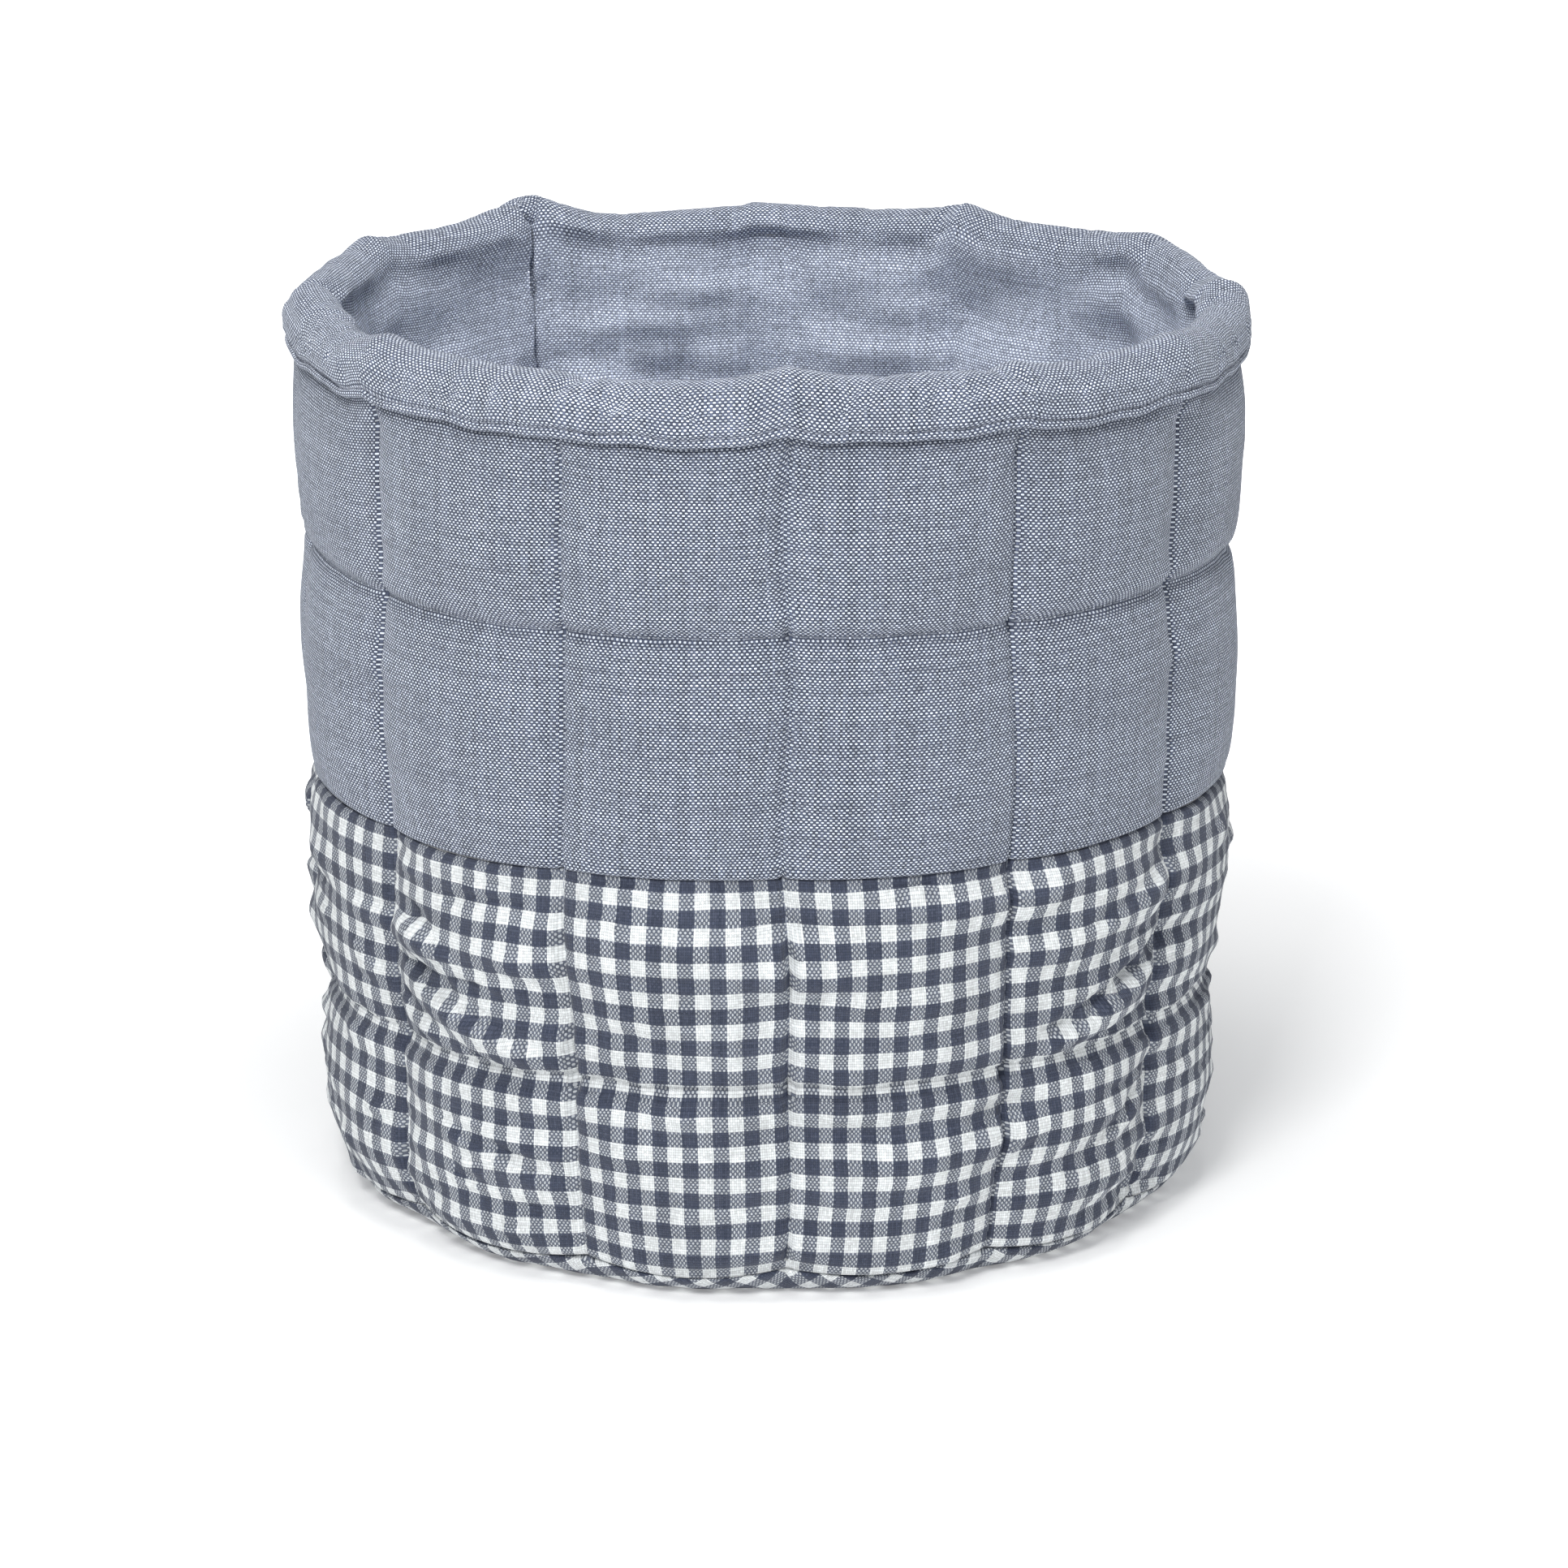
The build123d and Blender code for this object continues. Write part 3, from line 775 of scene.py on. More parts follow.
def cloth_finish(n, colour, height, thread_depth, sheen=0.25, tint=(0.8, 0.85, 0.95), mottle=1.0):
    """Broad mottling, fine lint and surface relief shared by the woven cloths."""
    broad = n.cloth_noise(0.05, 0.03)
    streak = n.cloth_noise(0.35, 0.018, offset=3.0)
    fine = n.cloth_noise(0.9, 0.9, offset=5.0, detail=4.0, rough=0.65)
    shade = n.scale_add(broad, 0.24, 0.90) + n.swing(streak, 0.32)
    slub = n.cloth_noise(0.30, 0.55, offset=6.0, rough=0.6)
    shade = shade + n.swing(slub, 0.44 * mottle)
    shade = shade + n.swing(fine, 0.24)
    colour = n.scale(colour, shade)
    fuzz = n.cloth_noise(3.0, 3.0, offset=9.0, rough=0.7)
    pucker = n.cloth_noise(0.30, 0.30, offset=2.0)
    relief = n.bump(pucker + fine * 0.25, depth=0.6, strength=0.55)
    relief = n.bump(height + fuzz * 0.35, depth=thread_depth, strength=0.9, under=relief)
    return n.surface({
        "Normal": relief,
        "Base Color": colour,
        "Roughness": n.scale_add(fuzz, 0.16, 0.78),
        "Specular IOR Level": 0.22,
        "Sheen Weight": sheen,
        "Sheen Roughness": 0.55,
        "Sheen Tint": tint + (1.0,),
    })


# ------------------------------------------------------------------ materials
SOFT_PAINTED_LIGHT_LENGTH = 14.0        # mm over which the lining turns soft and lighter inside; the lightening is painted light


def chambray(name, gain, soft=0.0, soft_painted_light_from=None, lift=1.0):
    """Navy warp and white weft. gain: brightness. soft: blend to the middle tone. With
    soft_painted_light_from, softness and lift come in along the sheet from there; lift is extra
    brightness, painted light for the shaded inside of the basket."""
    def toned(*colour):
        return tuple(c * gain for c in colour)
    n = Nodes(name)
    u, v = n.u, n.v
    navy = n.mix(n.white(n.math("FLOOR", u / 0.48), 1.0),
                 toned(0.076, 0.094, 0.150), toned(0.136, 0.160, 0.238))
    white = n.mix(n.cloth_noise(0.5, 2.0, offset=1.0, detail=2.0),
                  toned(0.71, 0.77, 0.91), toned(0.95, 1.0, 1.06))
    middle = toned(0.305, 0.330, 0.400)
    if soft_painted_light_from is not None:
        # ramp into the basket: the weave softens, and further down it is brightened as painted
        # light
        soft_painted_light_ramp = n.scale_add(v, 1 / SOFT_PAINTED_LIGHT_LENGTH, -soft_painted_light_from / SOFT_PAINTED_LIGHT_LENGTH, clamp=True)
        soft = soft_painted_light_ramp * soft
    navy, white = n.mix(soft, navy, middle), n.mix(soft, white, middle)
    colour, height = weave(n, u, v, 0.57, 0.62, navy, white, contrast=0.32, uneven=0.28,
                           each=0.42, weft_float=(1.42, 0.64), warp_float=(0.72, 1.15))
    # painted light: the lining inside the basket is brightened by lift
    if soft_painted_light_from is not None:
        colour = n.scale(colour, n.scale_add(soft_painted_light_ramp, lift - 1.0, 1.0))
    return cloth_finish(n, colour, height, thread_depth=0.10)


def gingham(name, phase_u, phase_v, bias=False):
    """Checks with thread-stepped edges; bias turns them by 45 degrees."""
    dark, dark_alt = (0.045, 0.056, 0.092), (0.074, 0.087, 0.130)
    light, half_tone = (0.85, 0.88, 0.89), (0.21, 0.235, 0.29)
    pitch_u, pitch_v = CHECK_U / 14, CHECK_V / 12         # threads in a repeat

    def in_stripe(x, period):
        return n.math("LESS_THAN", n.math("FRACT", (x + 0.01) / period), 0.5)
    n = Nodes(name)
    u, v = n.u, n.v
    if bias:
        u, v = (u + v) * math.sqrt(0.5), (v - u) * math.sqrt(0.5)
    u, v = u + phase_u, v + phase_v
    jog_u = (n.noise(n.vec(v * 0.12, 2.0), detail=1.0) - 0.5) * 0.5
    jog_v = (n.noise(n.vec(u * 0.12, 8.0), detail=1.0) - 0.5) * 0.5
    step_u = n.math("FLOOR", (u + jog_u) / pitch_u) * pitch_u
    step_v = n.math("FLOOR", (v + jog_v) / pitch_v) * pitch_v
    dark_u = n.mix(n.white(step_u / pitch_u, 5.0), dark, dark_alt)
    dark_v = n.mix(n.white(step_v / pitch_v, 6.0), dark, dark_alt)
    mask_u, mask_v = in_stripe(step_u, CHECK_U), in_stripe(step_v, CHECK_V)
    half = n.math("ABSOLUTE", mask_u - mask_v) * 0.5
    warp_colour = n.mix(half, n.mix(mask_u, light, dark_u), half_tone)
    weft_colour = n.mix(half, n.mix(mask_v, light, dark_v), half_tone)
    colour, height = weave(n, u, v, pitch_u, pitch_v, warp_colour, weft_colour, contrast=0.15,
                           uneven=0.18, each=0.22, weft_float=(1.15, 0.8),
                           warp_float=(0.8, 1.15), gap=0.82)
    return cloth_finish(n, colour, height, thread_depth=0.09, sheen=0.15, tint=(1, 1, 1),
                        mottle=0.3)


def thread(name, colour, dark):
    """Two-ply sewing thread: the twist runs along v, with a little lint."""
    n = Nodes(name)
    twist = n.math("FRACT", n.v * 1.25 + n.u * 0.64)
    ply = 1.0 - n.math("ABSOLUTE", n.scale_add(twist, 2.0, -1.0)) ** 2.0
    lint = n.cloth_noise(4.0, 6.0, rough=0.7)
    return n.surface({
        # painted shade: the grooves between the plies take the dark colour
        "Base Color": n.mix(ply * n.scale_add(lint, 0.5, 0.6), dark, colour),
        "Roughness": n.scale_add(lint, 0.25, 0.5),
        "Normal": n.bump(ply + lint * 0.3, depth=0.12, strength=0.9),
        "Sheen Weight": 0.2,
    })


def wadding(name):
    """Loose wadding: tangled pale fibres."""
    n = Nodes(name)
    upright = n.cloth_noise(1.6, 0.25, detail=6.0, rough=0.75)
    level = n.cloth_noise(0.25, 1.6, offset=5.0, detail=6.0, rough=0.75)
    broad = n.cloth_noise(0.08, 0.08, offset=2.0)
    fibres = upright * 0.5 + level * 0.5
    colour = n.mix(fibres, (0.62, 0.61, 0.58), (0.93, 0.93, 0.91))
    return n.surface({
        "Base Color": n.scale(colour, n.scale_add(broad, 0.25, 0.85)),
        "Roughness": n.scale_add(fibres, 0.2, 0.78),
        "Normal": n.bump(fibres, depth=1.2, strength=0.9),
        "Sheen Weight": 0.4,
    })


# the lining and its floor have higher gains than the outer cloth: painted light, for the rim that
# faces up and for the shaded inside
CHAMBRAY = chambray("chambray", gain=0.93)
LINING = chambray("lining_chambray", gain=1.04, soft=0.5, soft_painted_light_from=soft_painted_light_start, lift=1.58)
LINING_FLOOR = chambray("lining_chambray_floor", gain=1.35, soft=0.5)
# a dark check row lies just under the panel seam
panel_phase = (-outer_along[panel_row] + 0.1 * CHECK_V + 0.25 * CHECK_V) % CHECK_V
GINGHAM = gingham("gingham", phase_u=1.2, phase_v=panel_phase)
GINGHAM_BASE = gingham("gingham_bias", phase_u=0.6, phase_v=2.1, bias=True)
# dark: the painted shade in the grooves of the twist
THREAD = thread("thread_slate", colour=(0.37, 0.41, 0.49), dark=(0.17, 0.19, 0.25))
THREAD_LIGHT = thread("thread_grey", colour=(0.42, 0.45, 0.54), dark=(0.14, 0.16, 0.22))
WADDING = wadding("wadding")


# ------------------------------------------------------------------ outer panels
def tucked(row, inward_from, depth, rise=0.0):
    """A row of the outer sheet, moved in against the given directions and raised."""
    return outer[row] - depth * inward_from + np.array([0, 0, rise])


# upper panel: its lower edge is turned in behind the panel seam
at_panel = outer_normals[panel_row]
upper = outer[panel_row:].copy()
upper[0] = tucked(panel_row, at_panel, 0.30, 0.10)
for k, amount in ((1, 0.22), (2, 0.16)):
    upper[k] += amount * outer_normals[panel_row + k]
turned = [tucked(panel_row, at_panel, 2.2, 0.9), tucked(panel_row, at_panel, 1.3, 0.25)]
panel_along = outer_along[panel_row]
sheet("cloth_upper_panel", "outer_upper_panel",
      np.concatenate([turned, upper]), outer_across,
      np.concatenate([[panel_along - 2.2, panel_along - 1.2], outer_along[panel_row:]]),
      OUTER_THICK, CHAMBRAY)

# lower panel: both edges are turned in
lower = outer[seam_row:panel_row + 1].copy()
lower[-1] = tucked(panel_row, at_panel, 0.55, -0.12)
lower[0] = tucked(seam_row, outer_normals[seam_row], 0.45, 0.12)
turned_foot = [tucked(seam_row, fine_out, 2.2, 1.2), tucked(seam_row, fine_out, 1.2, 0.5)]
turned_top = [tucked(panel_row, at_panel, 1.5, -0.25), tucked(panel_row, at_panel, 2.3, -0.9)]
seam_along = outer_along[seam_row]
sheet("cloth_lower_panel", "outer_lower_panel",
      np.concatenate([turned_foot, lower, turned_top]), outer_across,
      np.concatenate([[seam_along - 2.2, seam_along - 1.2],
                      outer_along[seam_row:panel_row + 1],
                      [panel_along + 1.2, panel_along + 2.2]]),
      OUTER_THICK, GINGHAM)

# ------------------------------------------------------------------ base panel
# Quilted on two crossing families of diagonal lines, its edge turned up to the seam.
GROOVE_PITCH = 57.2
GROOVES = [k * GROOVE_PITCH for k in (-1.5, -0.5, 0.5, 1.5)]


def base_height(x, y):
    """Underside of the quilted base: pillows between the grooves."""
    z = 0 * x
    for across in ((x + y) * math.sqrt(0.5), (y - x) * math.sqrt(0.5)):
        distance = np.min(np.abs(np.stack([across - groove for groove in GROOVES])), 0)
        z = z + 1.5 * np.exp(-(distance / 1.6) ** 2) + 0.9 * np.exp(-(distance / 6.0) ** 2)
    ripple = np.sin(x * 0.45 + 2 * np.sin(y * 0.21)) * np.cos(y * 0.38 + 1.5 * np.sin(x * 0.17))
    return np.minimum(z, 2.6) + 0.25 + 0.16 * ripple


radii = np.arange(3.0, 80.0, 2.2)
disc = np.stack([ring(r, 0.0, fine_theta) for r in radii])
base = np.concatenate([disc, outer[:seam_row + 1]])
flat = np.clip((99.5 - np.hypot(base[..., 0], base[..., 1])) / 5.0, 0, 1)
base[..., 2] = (np.maximum(base[..., 2] * (1 - flat), 0.0)
                + flat * base_height(base[..., 0], base[..., 1]))
base[..., 2] = np.maximum(base[..., 2], 0.02)
base[-1] += np.array([0, 0, -0.15]) - 0.45 * fine_out
base = np.concatenate([
    base, [tucked(seam_row, fine_out, 1.3, 0.05), tucked(seam_row, fine_out, 2.4, 0.6)]])
inner = base - grid_normals(base) * OUTER_THICK
centre_z = base_height(0.0, 0.0)
verts = np.concatenate([base.reshape(-1, 3), inner.reshape(-1, 3),
                        [[0, 0, centre_z], [0, 0, centre_z + OUTER_THICK]]])
# arc length outwards keeps the checks even where the edge turns up
steps = np.linalg.norm(np.diff(base, axis=0), axis=-1).mean(1)
along = np.concatenate([[0], np.cumsum(steps)]) + radii[0]
stretch = along / np.maximum(np.hypot(base[..., 0], base[..., 1]).mean(1), 1e-6)
flat_uv = (base[..., :2] * stretch[:, None, None]).reshape(-1, 2)
uv = np.concatenate([flat_uv, flat_uv, np.zeros((2, 2))])
faces = disc_faces(len(base), FINE)
build("cloth_base_panel", "outer_base_panel", verts, faces,
      [uv[f] for f in faces], GINGHAM_BASE)

# ------------------------------------------------------------------ lining wall and floor
sheet("cloth_lining_wall", "lining_wall_panel", lining, lining_across,
      lining_along, LINING_THICK, LINING, inner_step=3)


def ridges(x, y, seed, count, length):
    """Soft folds: ridges along random short curves."""
    random = np.random.default_rng(seed)
    z = 0 * x
    for _ in range(count):
        turn = random.uniform(0, math.pi)
        from_x, from_y = x - random.uniform(-80, 80), y - random.uniform(-80, 80)
        along = from_x * math.cos(turn) + from_y * math.sin(turn)
        bend = 0.012 * along ** 2 * random.choice([-1, 1])
        off = -from_x * math.sin(turn) + from_y * math.cos(turn) + bend
        height, width = random.uniform(0.3, 1.0), random.uniform(1.6, 4.0)
        reach = along / length / random.uniform(0.5, 1.3)
        z = z + height * np.exp(-(off / width) ** 2 - reach ** 2)
    return z


# the floor is a slack disc, its edge turned up a little at the wall
FLOOR_COLUMNS = 234
radii = [1.5 + 2.1 * k for k in range(46)] + [98.6]
around = np.linspace(0, 2 * math.pi, FLOOR_COLUMNS, endpoint=False)
disc = np.stack([ring(r, 0.0, around) for r in radii])
x, y = disc[..., 0], disc[..., 1]
radius = np.hypot(x, y)
folds = 0.9 * ridges(x, y, seed=5, count=46, length=22) + 0.5
disc[..., 2] = (7.9 + folds * np.clip((97.5 - radius) / 8, 0, 1)
                + np.clip((radius - 96.5) / 2, 0, 1) * 0.4)
centre_z = disc[0, :, 2].mean()
verts = np.concatenate([
    disc.reshape(-1, 3), (disc - np.array([0, 0, LINING_THICK])).reshape(-1, 3),
    [[0, 0, centre_z], [0, 0, centre_z - LINING_THICK]]])
faces = disc_faces(len(radii), FLOOR_COLUMNS, flip=True)
build("cloth_lining_floor", "lining_base_panel", verts, faces,
      [verts[f][..., :2] for f in faces], LINING_FLOOR)


# ------------------------------------------------------------------ wall wadding
def column_radii(grid, heights):
    """Radius of a sheet at the given heights, for each column."""
    found = []
    for radius, z in zip(np.hypot(grid[..., 0], grid[..., 1]).T, grid[..., 2].T):
        order = np.argsort(z)
        found.append(np.interp(heights, z[order], radius[order]))
    return np.stack(found, 1)


def spread(radii, pick):
    """Smallest or largest among near neighbours, so the wadding stays under each pinch."""
    wide = pick([np.roll(radii, k, 1) for k in range(-3, 4)], axis=0)
    padded = np.concatenate([wide[:1], wide, wide[-1:]])
    return pick([padded[:-2], padded[1:-1], padded[2:]], axis=0)


WADDING_ROWS = 68
SHELF_RADIUS = 108.6
outside_z = np.linspace(17.0, 204.0, WADDING_ROWS)
inside_z = np.linspace(17.0, 206.0, WADDING_ROWS)
half_cols = np.arange(0, FINE, 2)
around = fine_theta[half_cols]
outside_r = spread(column_radii(outer[seam_row:], outside_z), np.min)[:, half_cols]
outside_r = outside_r - (OUTER_THICK + 0.45)
clearance = 0.45 + 0.65 * np.clip((inside_z - 40) / 90, 0, 1)
inside_r = spread(column_radii(lining[inner_row:], inside_z), np.max)[:, half_cols]
inside_r = inside_r + LINING_THICK + clearance[:, None]
# where the pinch leaves no room, the wadding thins out halfway between the cloths
middle = (outside_r + inside_r) / 2
outside_r = np.maximum(outside_r, middle + 0.03)
inside_r = np.minimum(inside_r, middle - 0.03)
fluff = value_noise(WADDING_ROWS, len(half_cols), 3, 2, seed=31) * 0.12 - 0.2
outside = ring(outside_r + fluff, outside_z[:, None], around[None])
inside_face = ring(inside_r - fluff, inside_z[:, None], around[None])
roll_start = stitch_row + 7
cap = np.stack([
    lining[j, half_cols] - lining_normals[j, half_cols]
    * (LINING_THICK + 0.75 + 1.1 * (j - roll_start) / (inner_row - roll_start))
    for j in range(roll_start, inner_row - 1, 2)])
for _ in range(2):
    # the wadding is rounder than the wrinkled cloth over it
    cap = (cap + np.roll(cap, 1, 1) + np.roll(cap, -1, 1)) / 3
# above the cut edge of the outer cloth the wadding fills the roll
shelf = [ring(SHELF_RADIUS, z, around) for z in (206.0, 209.9)]
loop = np.concatenate([outside, shelf, cap, inside_face[::-1]])
rows, columns = loop.shape[:2]
index = np.arange(rows * columns).reshape(rows, columns)
across = around / (2 * math.pi) * 690
build("wadding_wall", "wall_batting", loop.reshape(-1, 3),
      [strip(index[j], index[(j + 1) % rows]) for j in range(rows)],
      [strip_uv(across, j * 2.9, (j + 1) * 2.9) for j in range(rows)], WADDING)

# ------------------------------------------------------------------ base wadding
WADDING_COLUMNS = 180
WADDING_TOP = 6.9
around = np.linspace(0, 2 * math.pi, WADDING_COLUMNS, endpoint=False)
under = np.stack([ring(2.0 + 3.2 * k, 0.0, around) for k in range(31)])
x, y = under[..., 0], under[..., 1]
under[..., 2] = (np.maximum(base_height(x, y) + OUTER_THICK + 0.35, 0.9)
                 + np.clip((np.hypot(x, y) - 94) / 5, 0, 1) * 1.6)
over = under.copy()
over[..., 2] = WADDING_TOP + 0.12 * np.sin(x * 0.3) * np.cos(y * 0.27)
loop = np.concatenate([over, under[::-1]])
rows = len(loop)
centre = rows * WADDING_COLUMNS
index = np.arange(centre).reshape(rows, WADDING_COLUMNS)
verts = np.concatenate([loop.reshape(-1, 3),
                        [[0, 0, WADDING_TOP], [0, 0, float(under[0, :, 2].mean())]]])
faces = [strip(index[j + 1], index[j]) for j in range(rows - 1)]
faces += [fan(index[0], centre), fan(index[-1], centre + 1, flip=True)]
build("wadding_base", "base_batting", verts, faces,
      [verts[f][..., :2] for f in faces], WADDING)

# ------------------------------------------------------------------ stitches
SIDES, STATIONS = 7, 9        # points round a stitch, and rings along it


def stitches(name, part, runs, seed, material=THREAD, length=2.9, gap=0.45, radius=0.21,
             stand=0.10, dip=0.42):
    """Separate lockstitches along runs of (points, normals); each is a small arched thread
    that stands above the run at its middle and dips below it at its ends."""
    random = np.random.default_rng(seed)
    verts, quads, tris, uvs, count = [], [], [], [], 0
    t = np.linspace(0, 1, STATIONS)
    around = np.linspace(0, 2 * math.pi, SIDES, endpoint=False)
    for points, normals in runs:
        normals = np.broadcast_to(normals, points.shape)
        steps = np.linalg.norm(np.diff(points, axis=0), axis=-1)
        along = np.concatenate([[0], np.cumsum(steps)])
        stitch_count = int(along[-1] / length)
        pitch = along[-1] / stitch_count
        for k in range(stitch_count):
            begin, end = k * pitch + gap / 2, (k + 1) * pitch - gap / 2
            at = begin + (end - begin) * t
            path = np.stack([np.interp(at, along, points[:, q]) for q in range(3)], -1)
            normal = np.stack([np.interp(at, along, normals[:, q]) for q in range(3)], -1)
            normal /= np.linalg.norm(normal, axis=-1, keepdims=True)
            lift = stand - (stand + dip) * np.abs(2 * t - 1) ** 5
            tangent = path[-1] - path[0]
            tangent /= np.linalg.norm(tangent)
            side = np.cross(tangent, normal[STATIONS // 2])
            side /= np.linalg.norm(side)
            slant = random.normal() * 0.06 + 0.10
            path = path + normal * lift[:, None] + side * ((t - 0.5) * slant)[:, None]
            thick = radius * (0.72 + 0.28 * np.sin(np.pi * t)) * (1 + 0.06 * random.normal())
            section = (normal[:, None] * np.cos(around)[:, None] * 0.85
                       + side * np.sin(around)[:, None])
            rings = path[:, None] + section * thick[:, None, None]
            verts.append(np.concatenate([rings.reshape(-1, 3), [path[0], path[-1]]]))
            index = count + np.arange(STATIONS * SIDES).reshape(STATIONS, SIDES)
            quads += [strip(index[j], index[j + 1])[:, ::-1] for j in range(STATIONS - 1)]
            centre = count + STATIONS * SIDES
            tris += [fan(index[0], centre), fan(index[-1], centre + 1, flip=True)]
            u = np.concatenate([np.tile(np.arange(SIDES) / SIDES * 1.57, STATIONS), [0, 0]])
            v = np.concatenate([np.repeat(t * (end - begin), SIDES) + k * 0.37,
                                [0, end - begin]])
            uvs.append(np.stack([u, v], -1))
            count += STATIONS * SIDES + 2
    uv = np.concatenate(uvs)
    faces = [np.concatenate(quads), np.concatenate(tris)]
    build(name, part, np.concatenate(verts), faces, [uv[f] for f in faces], material)


def round_run(points, normals):
    """A run that closes on itself."""
    return [tuple(np.concatenate([a, a[:1]]) for a in (points, normals))]


rows = slice(seam_row + 4, hem_row - 1)
stitches("stitches_upright", "upright_quilting_thread",
         [(outer[rows, line], fine_out[line] * 0.4 + outer_normals[rows, line] * 0.6)
          for line in fine_lines],
         seed=1, gap=0.36, dip=0.30, stand=0.0, radius=0.18)
for level, tag, seed in (("upper", "high", 2), ("lower", "low", 3)):
    row = refined(outer_row[tag])
    stitches("stitches_level_" + level, "level_quilting_thread_" + level,
             round_run(outer[row], outer_normals[row]), seed=seed)
stitches("stitches_hem", "hem_topstitch_thread",
         round_run(lining[stitch_row], lining_normals[stitch_row]),
         seed=4, material=THREAD_LIGHT, length=2.7, dip=0.3, gap=0.4)

# hidden seams, a row of stitches behind the cloth edges they join
stitches("stitches_panel_seam", "panel_seam_thread",
         round_run(tucked(panel_row, fine_out, 3.0), fine_out), seed=5, dip=0.2)
stitches("stitches_base_seam", "base_seam_thread",
         round_run(tucked(seam_row, fine_out, 2.9, -0.3), fine_out), seed=6, dip=0.2)
column = int(np.argmin(np.abs(fine_deg - SIDE_SEAM)))
direction = fine_out[column]
stitches("stitches_side_seam", "side_seam_thread",
         [(outer[rows, column] - 1.6 * direction, direction)
          for rows in (slice(seam_row + 6, panel_row - 2), slice(panel_row + 2, hem_row))],
         seed=7, dip=0.2)
column = int(np.argmin(np.abs(fine_deg - LINING_SEAM)))
direction = fine_out[column]
stitches("stitches_lining_seam", "lining_side_seam_thread",
         [(lining[inner_row + 4:-2, column][::-1] + 1.25 * direction, direction)],
         seed=8, dip=0.2)
stitches("stitches_lining_base", "lining_base_seam_thread",
         round_run(ring(98.35, 8.75, fine_theta), np.array([0, 0, 1.0]) - 0.6 * fine_out),
         seed=9, dip=0.25, stand=0.0)

# base quilting, along both families of grooves
BASE_STITCH_RADIUS = 93.0
runs = []
for family in (0, 1):
    for groove in GROOVES:
        half = math.sqrt(BASE_STITCH_RADIUS ** 2 - groove ** 2)
        t = np.linspace(-half, half, 160)
        a, b = (t, groove) if family else (groove, t)
        x, y = (a - b) * math.sqrt(0.5), (a + b) * math.sqrt(0.5)
        runs.append((np.stack([x, y, base_height(x, y)], -1), np.array([0, 0, -1.0])))
stitches("stitches_base", "base_quilting_thread", runs, seed=10, stand=0.05)


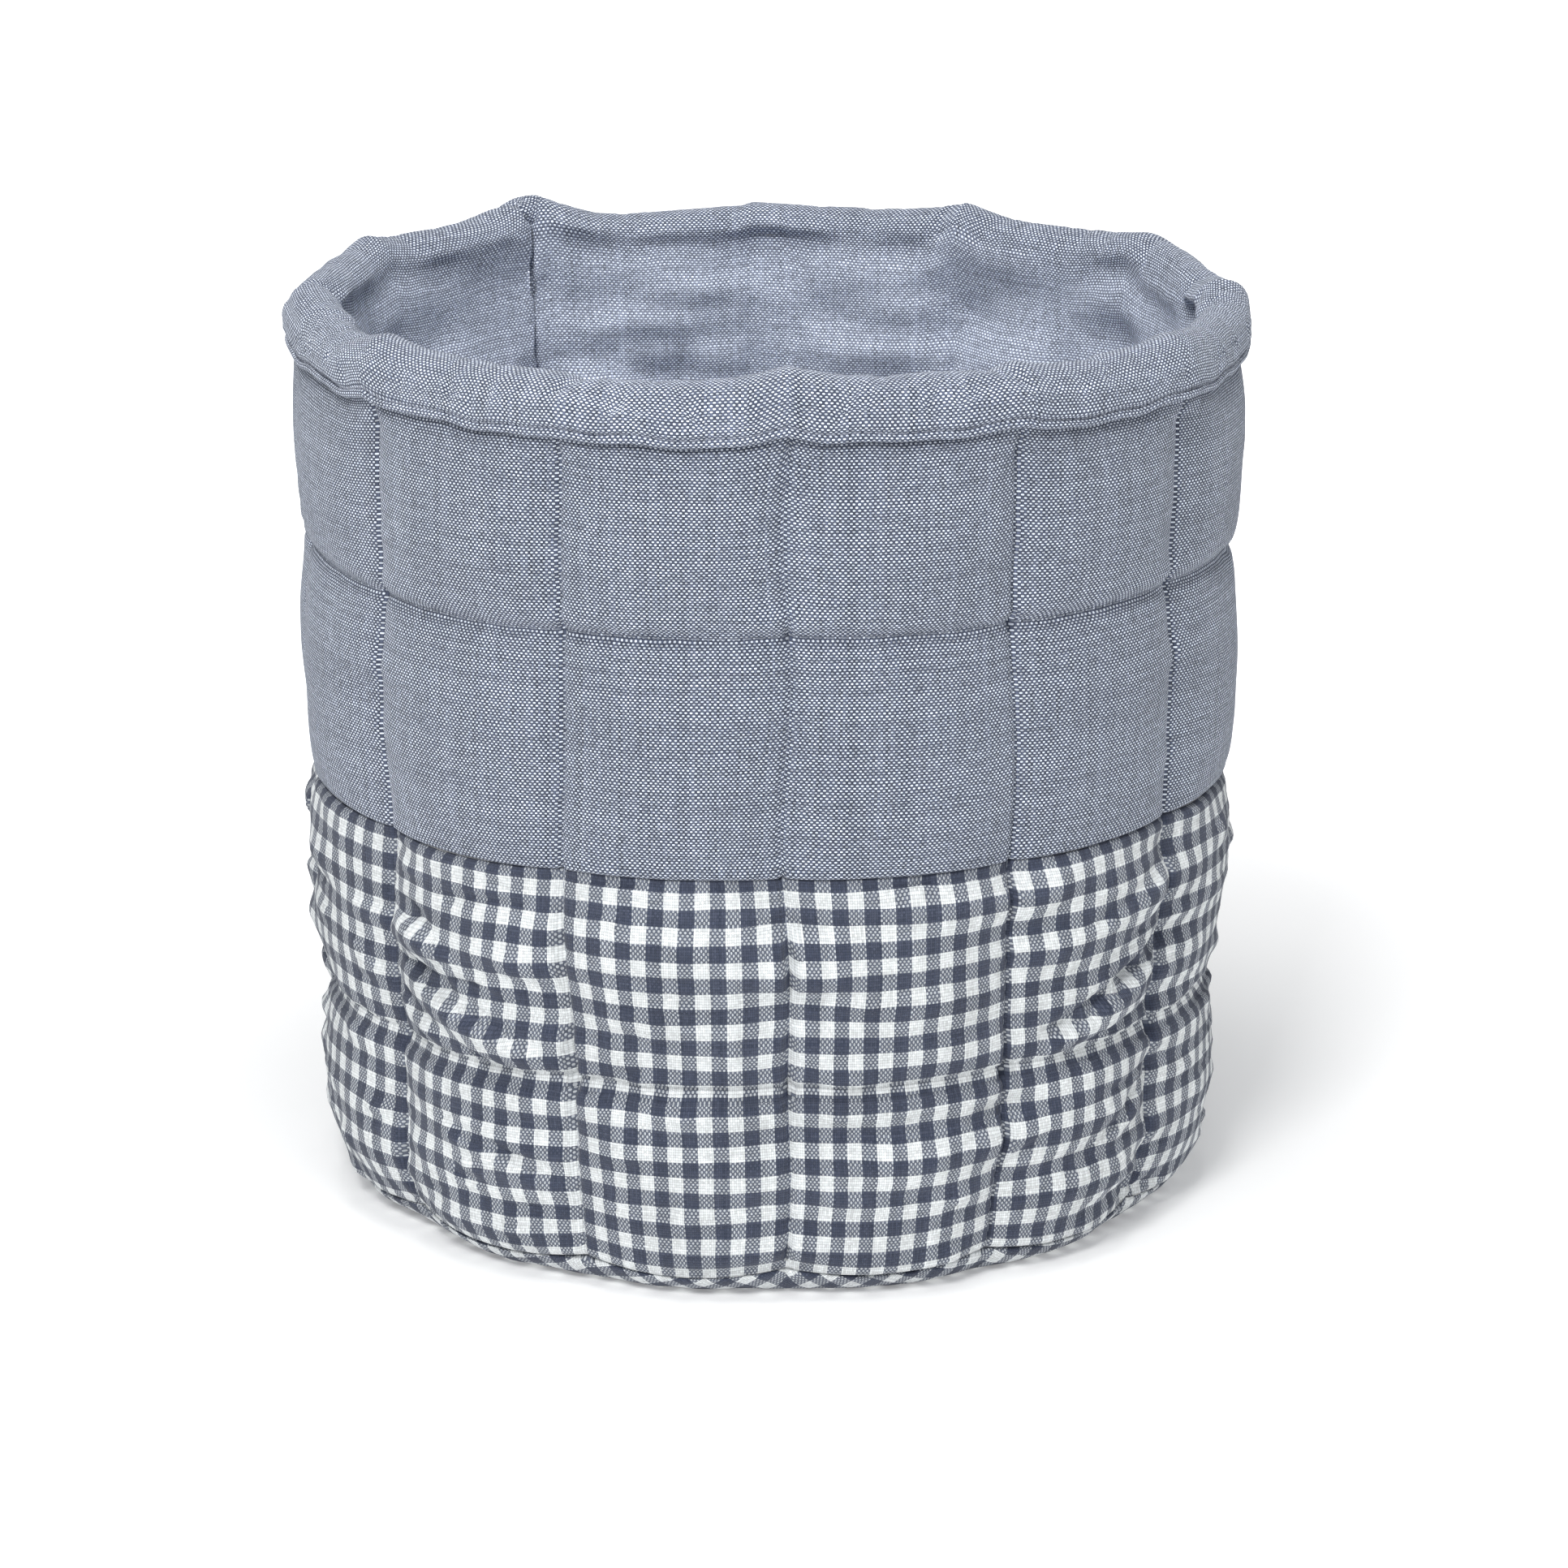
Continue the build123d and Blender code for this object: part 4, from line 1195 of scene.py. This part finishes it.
# ------------------------------------------------------------------ studio, in metres
def studio_floor():
    mesh = bpy.data.meshes.new("studio_floor")
    mesh.from_pydata([(-9, -9, 0), (9, -9, 0), (9, 9, 0), (-9, 9, 0)], [], [(0, 1, 2, 3)])
    obj = bpy.data.objects.new("studio_floor", mesh)
    bpy.context.scene.collection.objects.link(obj)
    material = bpy.data.materials.new("studio_floor")
    material.use_nodes = True
    nodes, link = material.node_tree.nodes, material.node_tree.links.new
    bsdf = nodes["Principled BSDF"]
    for name, value in (("Base Color", (0.90, 0.90, 0.895, 1)),
                        ("Emission Color", (1, 1, 1, 1)),
                        ("Roughness", 0.75), ("Specular IOR Level", 0.15)):
        bsdf.inputs[name].default_value = value
    # the floor brightens with distance for the camera only, so that it ends as an even white
    geometry = nodes.new("ShaderNodeNewGeometry")
    light_path = nodes.new("ShaderNodeLightPath")
    distance = nodes.new("ShaderNodeVectorMath")
    distance.operation = "LENGTH"
    link(geometry.outputs["Position"], distance.inputs[0])
    ramp = nodes.new("ShaderNodeMapRange")
    ramp.interpolation_type = "SMOOTHSTEP"
    for name, value in (("From Min", 0.15), ("From Max", 0.60), ("To Min", 0.0), ("To Max", 1.0)):
        ramp.inputs[name].default_value = value
    link(distance.outputs["Value"], ramp.inputs["Value"])
    seen = nodes.new("ShaderNodeMath")
    seen.operation = "MULTIPLY"
    link(ramp.outputs["Result"], seen.inputs[0])
    link(light_path.outputs["Is Camera Ray"], seen.inputs[1])
    glow = nodes.new("ShaderNodeMath")
    glow.operation = "MULTIPLY_ADD"
    glow.inputs[1].default_value = 0.9        # extra glow far away
    glow.inputs[2].default_value = 0.22       # glow everywhere
    link(seen.outputs[0], glow.inputs[0])
    link(glow.outputs[0], bsdf.inputs["Emission Strength"])
    mesh.materials.append(material)


def area_light(name, location, energy, size):
    """A square lamp aimed at the middle of the basket."""
    lamp = bpy.data.lights.new(name, "AREA")
    lamp.energy = energy
    lamp.size = size
    obj = bpy.data.objects.new(name, lamp)
    obj.location = location
    aim = Vector((0, 0, 0.11)) - Vector(location)
    obj.rotation_euler = aim.to_track_quat("-Z", "Y").to_euler()
    bpy.context.scene.collection.objects.link(obj)


def studio_world():
    """Soft bluish light; the camera itself sees plain white beyond the floor."""
    world = bpy.data.worlds.new("studio")
    bpy.context.scene.world = world
    world.use_nodes = True
    nodes, link = world.node_tree.nodes, world.node_tree.links.new
    light = nodes["Background"]
    light.inputs[0].default_value = (0.95, 0.97, 1.0, 1)
    light.inputs[1].default_value = 0.36
    light_path = nodes.new("ShaderNodeLightPath")
    white = nodes.new("ShaderNodeBackground")
    white.inputs[0].default_value = (1, 1, 1, 1)
    mix = nodes.new("ShaderNodeMixShader")
    link(light_path.outputs["Is Camera Ray"], mix.inputs[0])
    link(light.outputs[0], mix.inputs[1])
    link(white.outputs[0], mix.inputs[2])
    link(mix.outputs[0], nodes["World Output"].inputs[0])


def camera():
    """Long lens in front of the basket, looking slightly down."""
    data = bpy.data.cameras.new("photo_view")
    obj = bpy.data.objects.new("photo_view", data)
    bpy.context.scene.collection.objects.link(obj)
    data.lens = 129
    data.sensor_width = 36
    obj.location = (0.004, -1.300, 0.470)
    obj.rotation_euler = (math.radians(90 - 16.15), 0, 0)
    bpy.context.scene.camera = obj


studio_floor()
area_light("key", location=(-0.32, -1.18, 1.26), energy=14.6, size=0.40)
area_light("fill", location=(1.20, -0.95, 0.95), energy=1.3, size=0.9)
area_light("top", location=(-0.05, -0.30, 1.6), energy=10.0, size=0.6)
studio_world()
camera()
bpy.context.scene.view_settings.view_transform = "Standard"
bpy.context.scene.view_settings.look = "None"
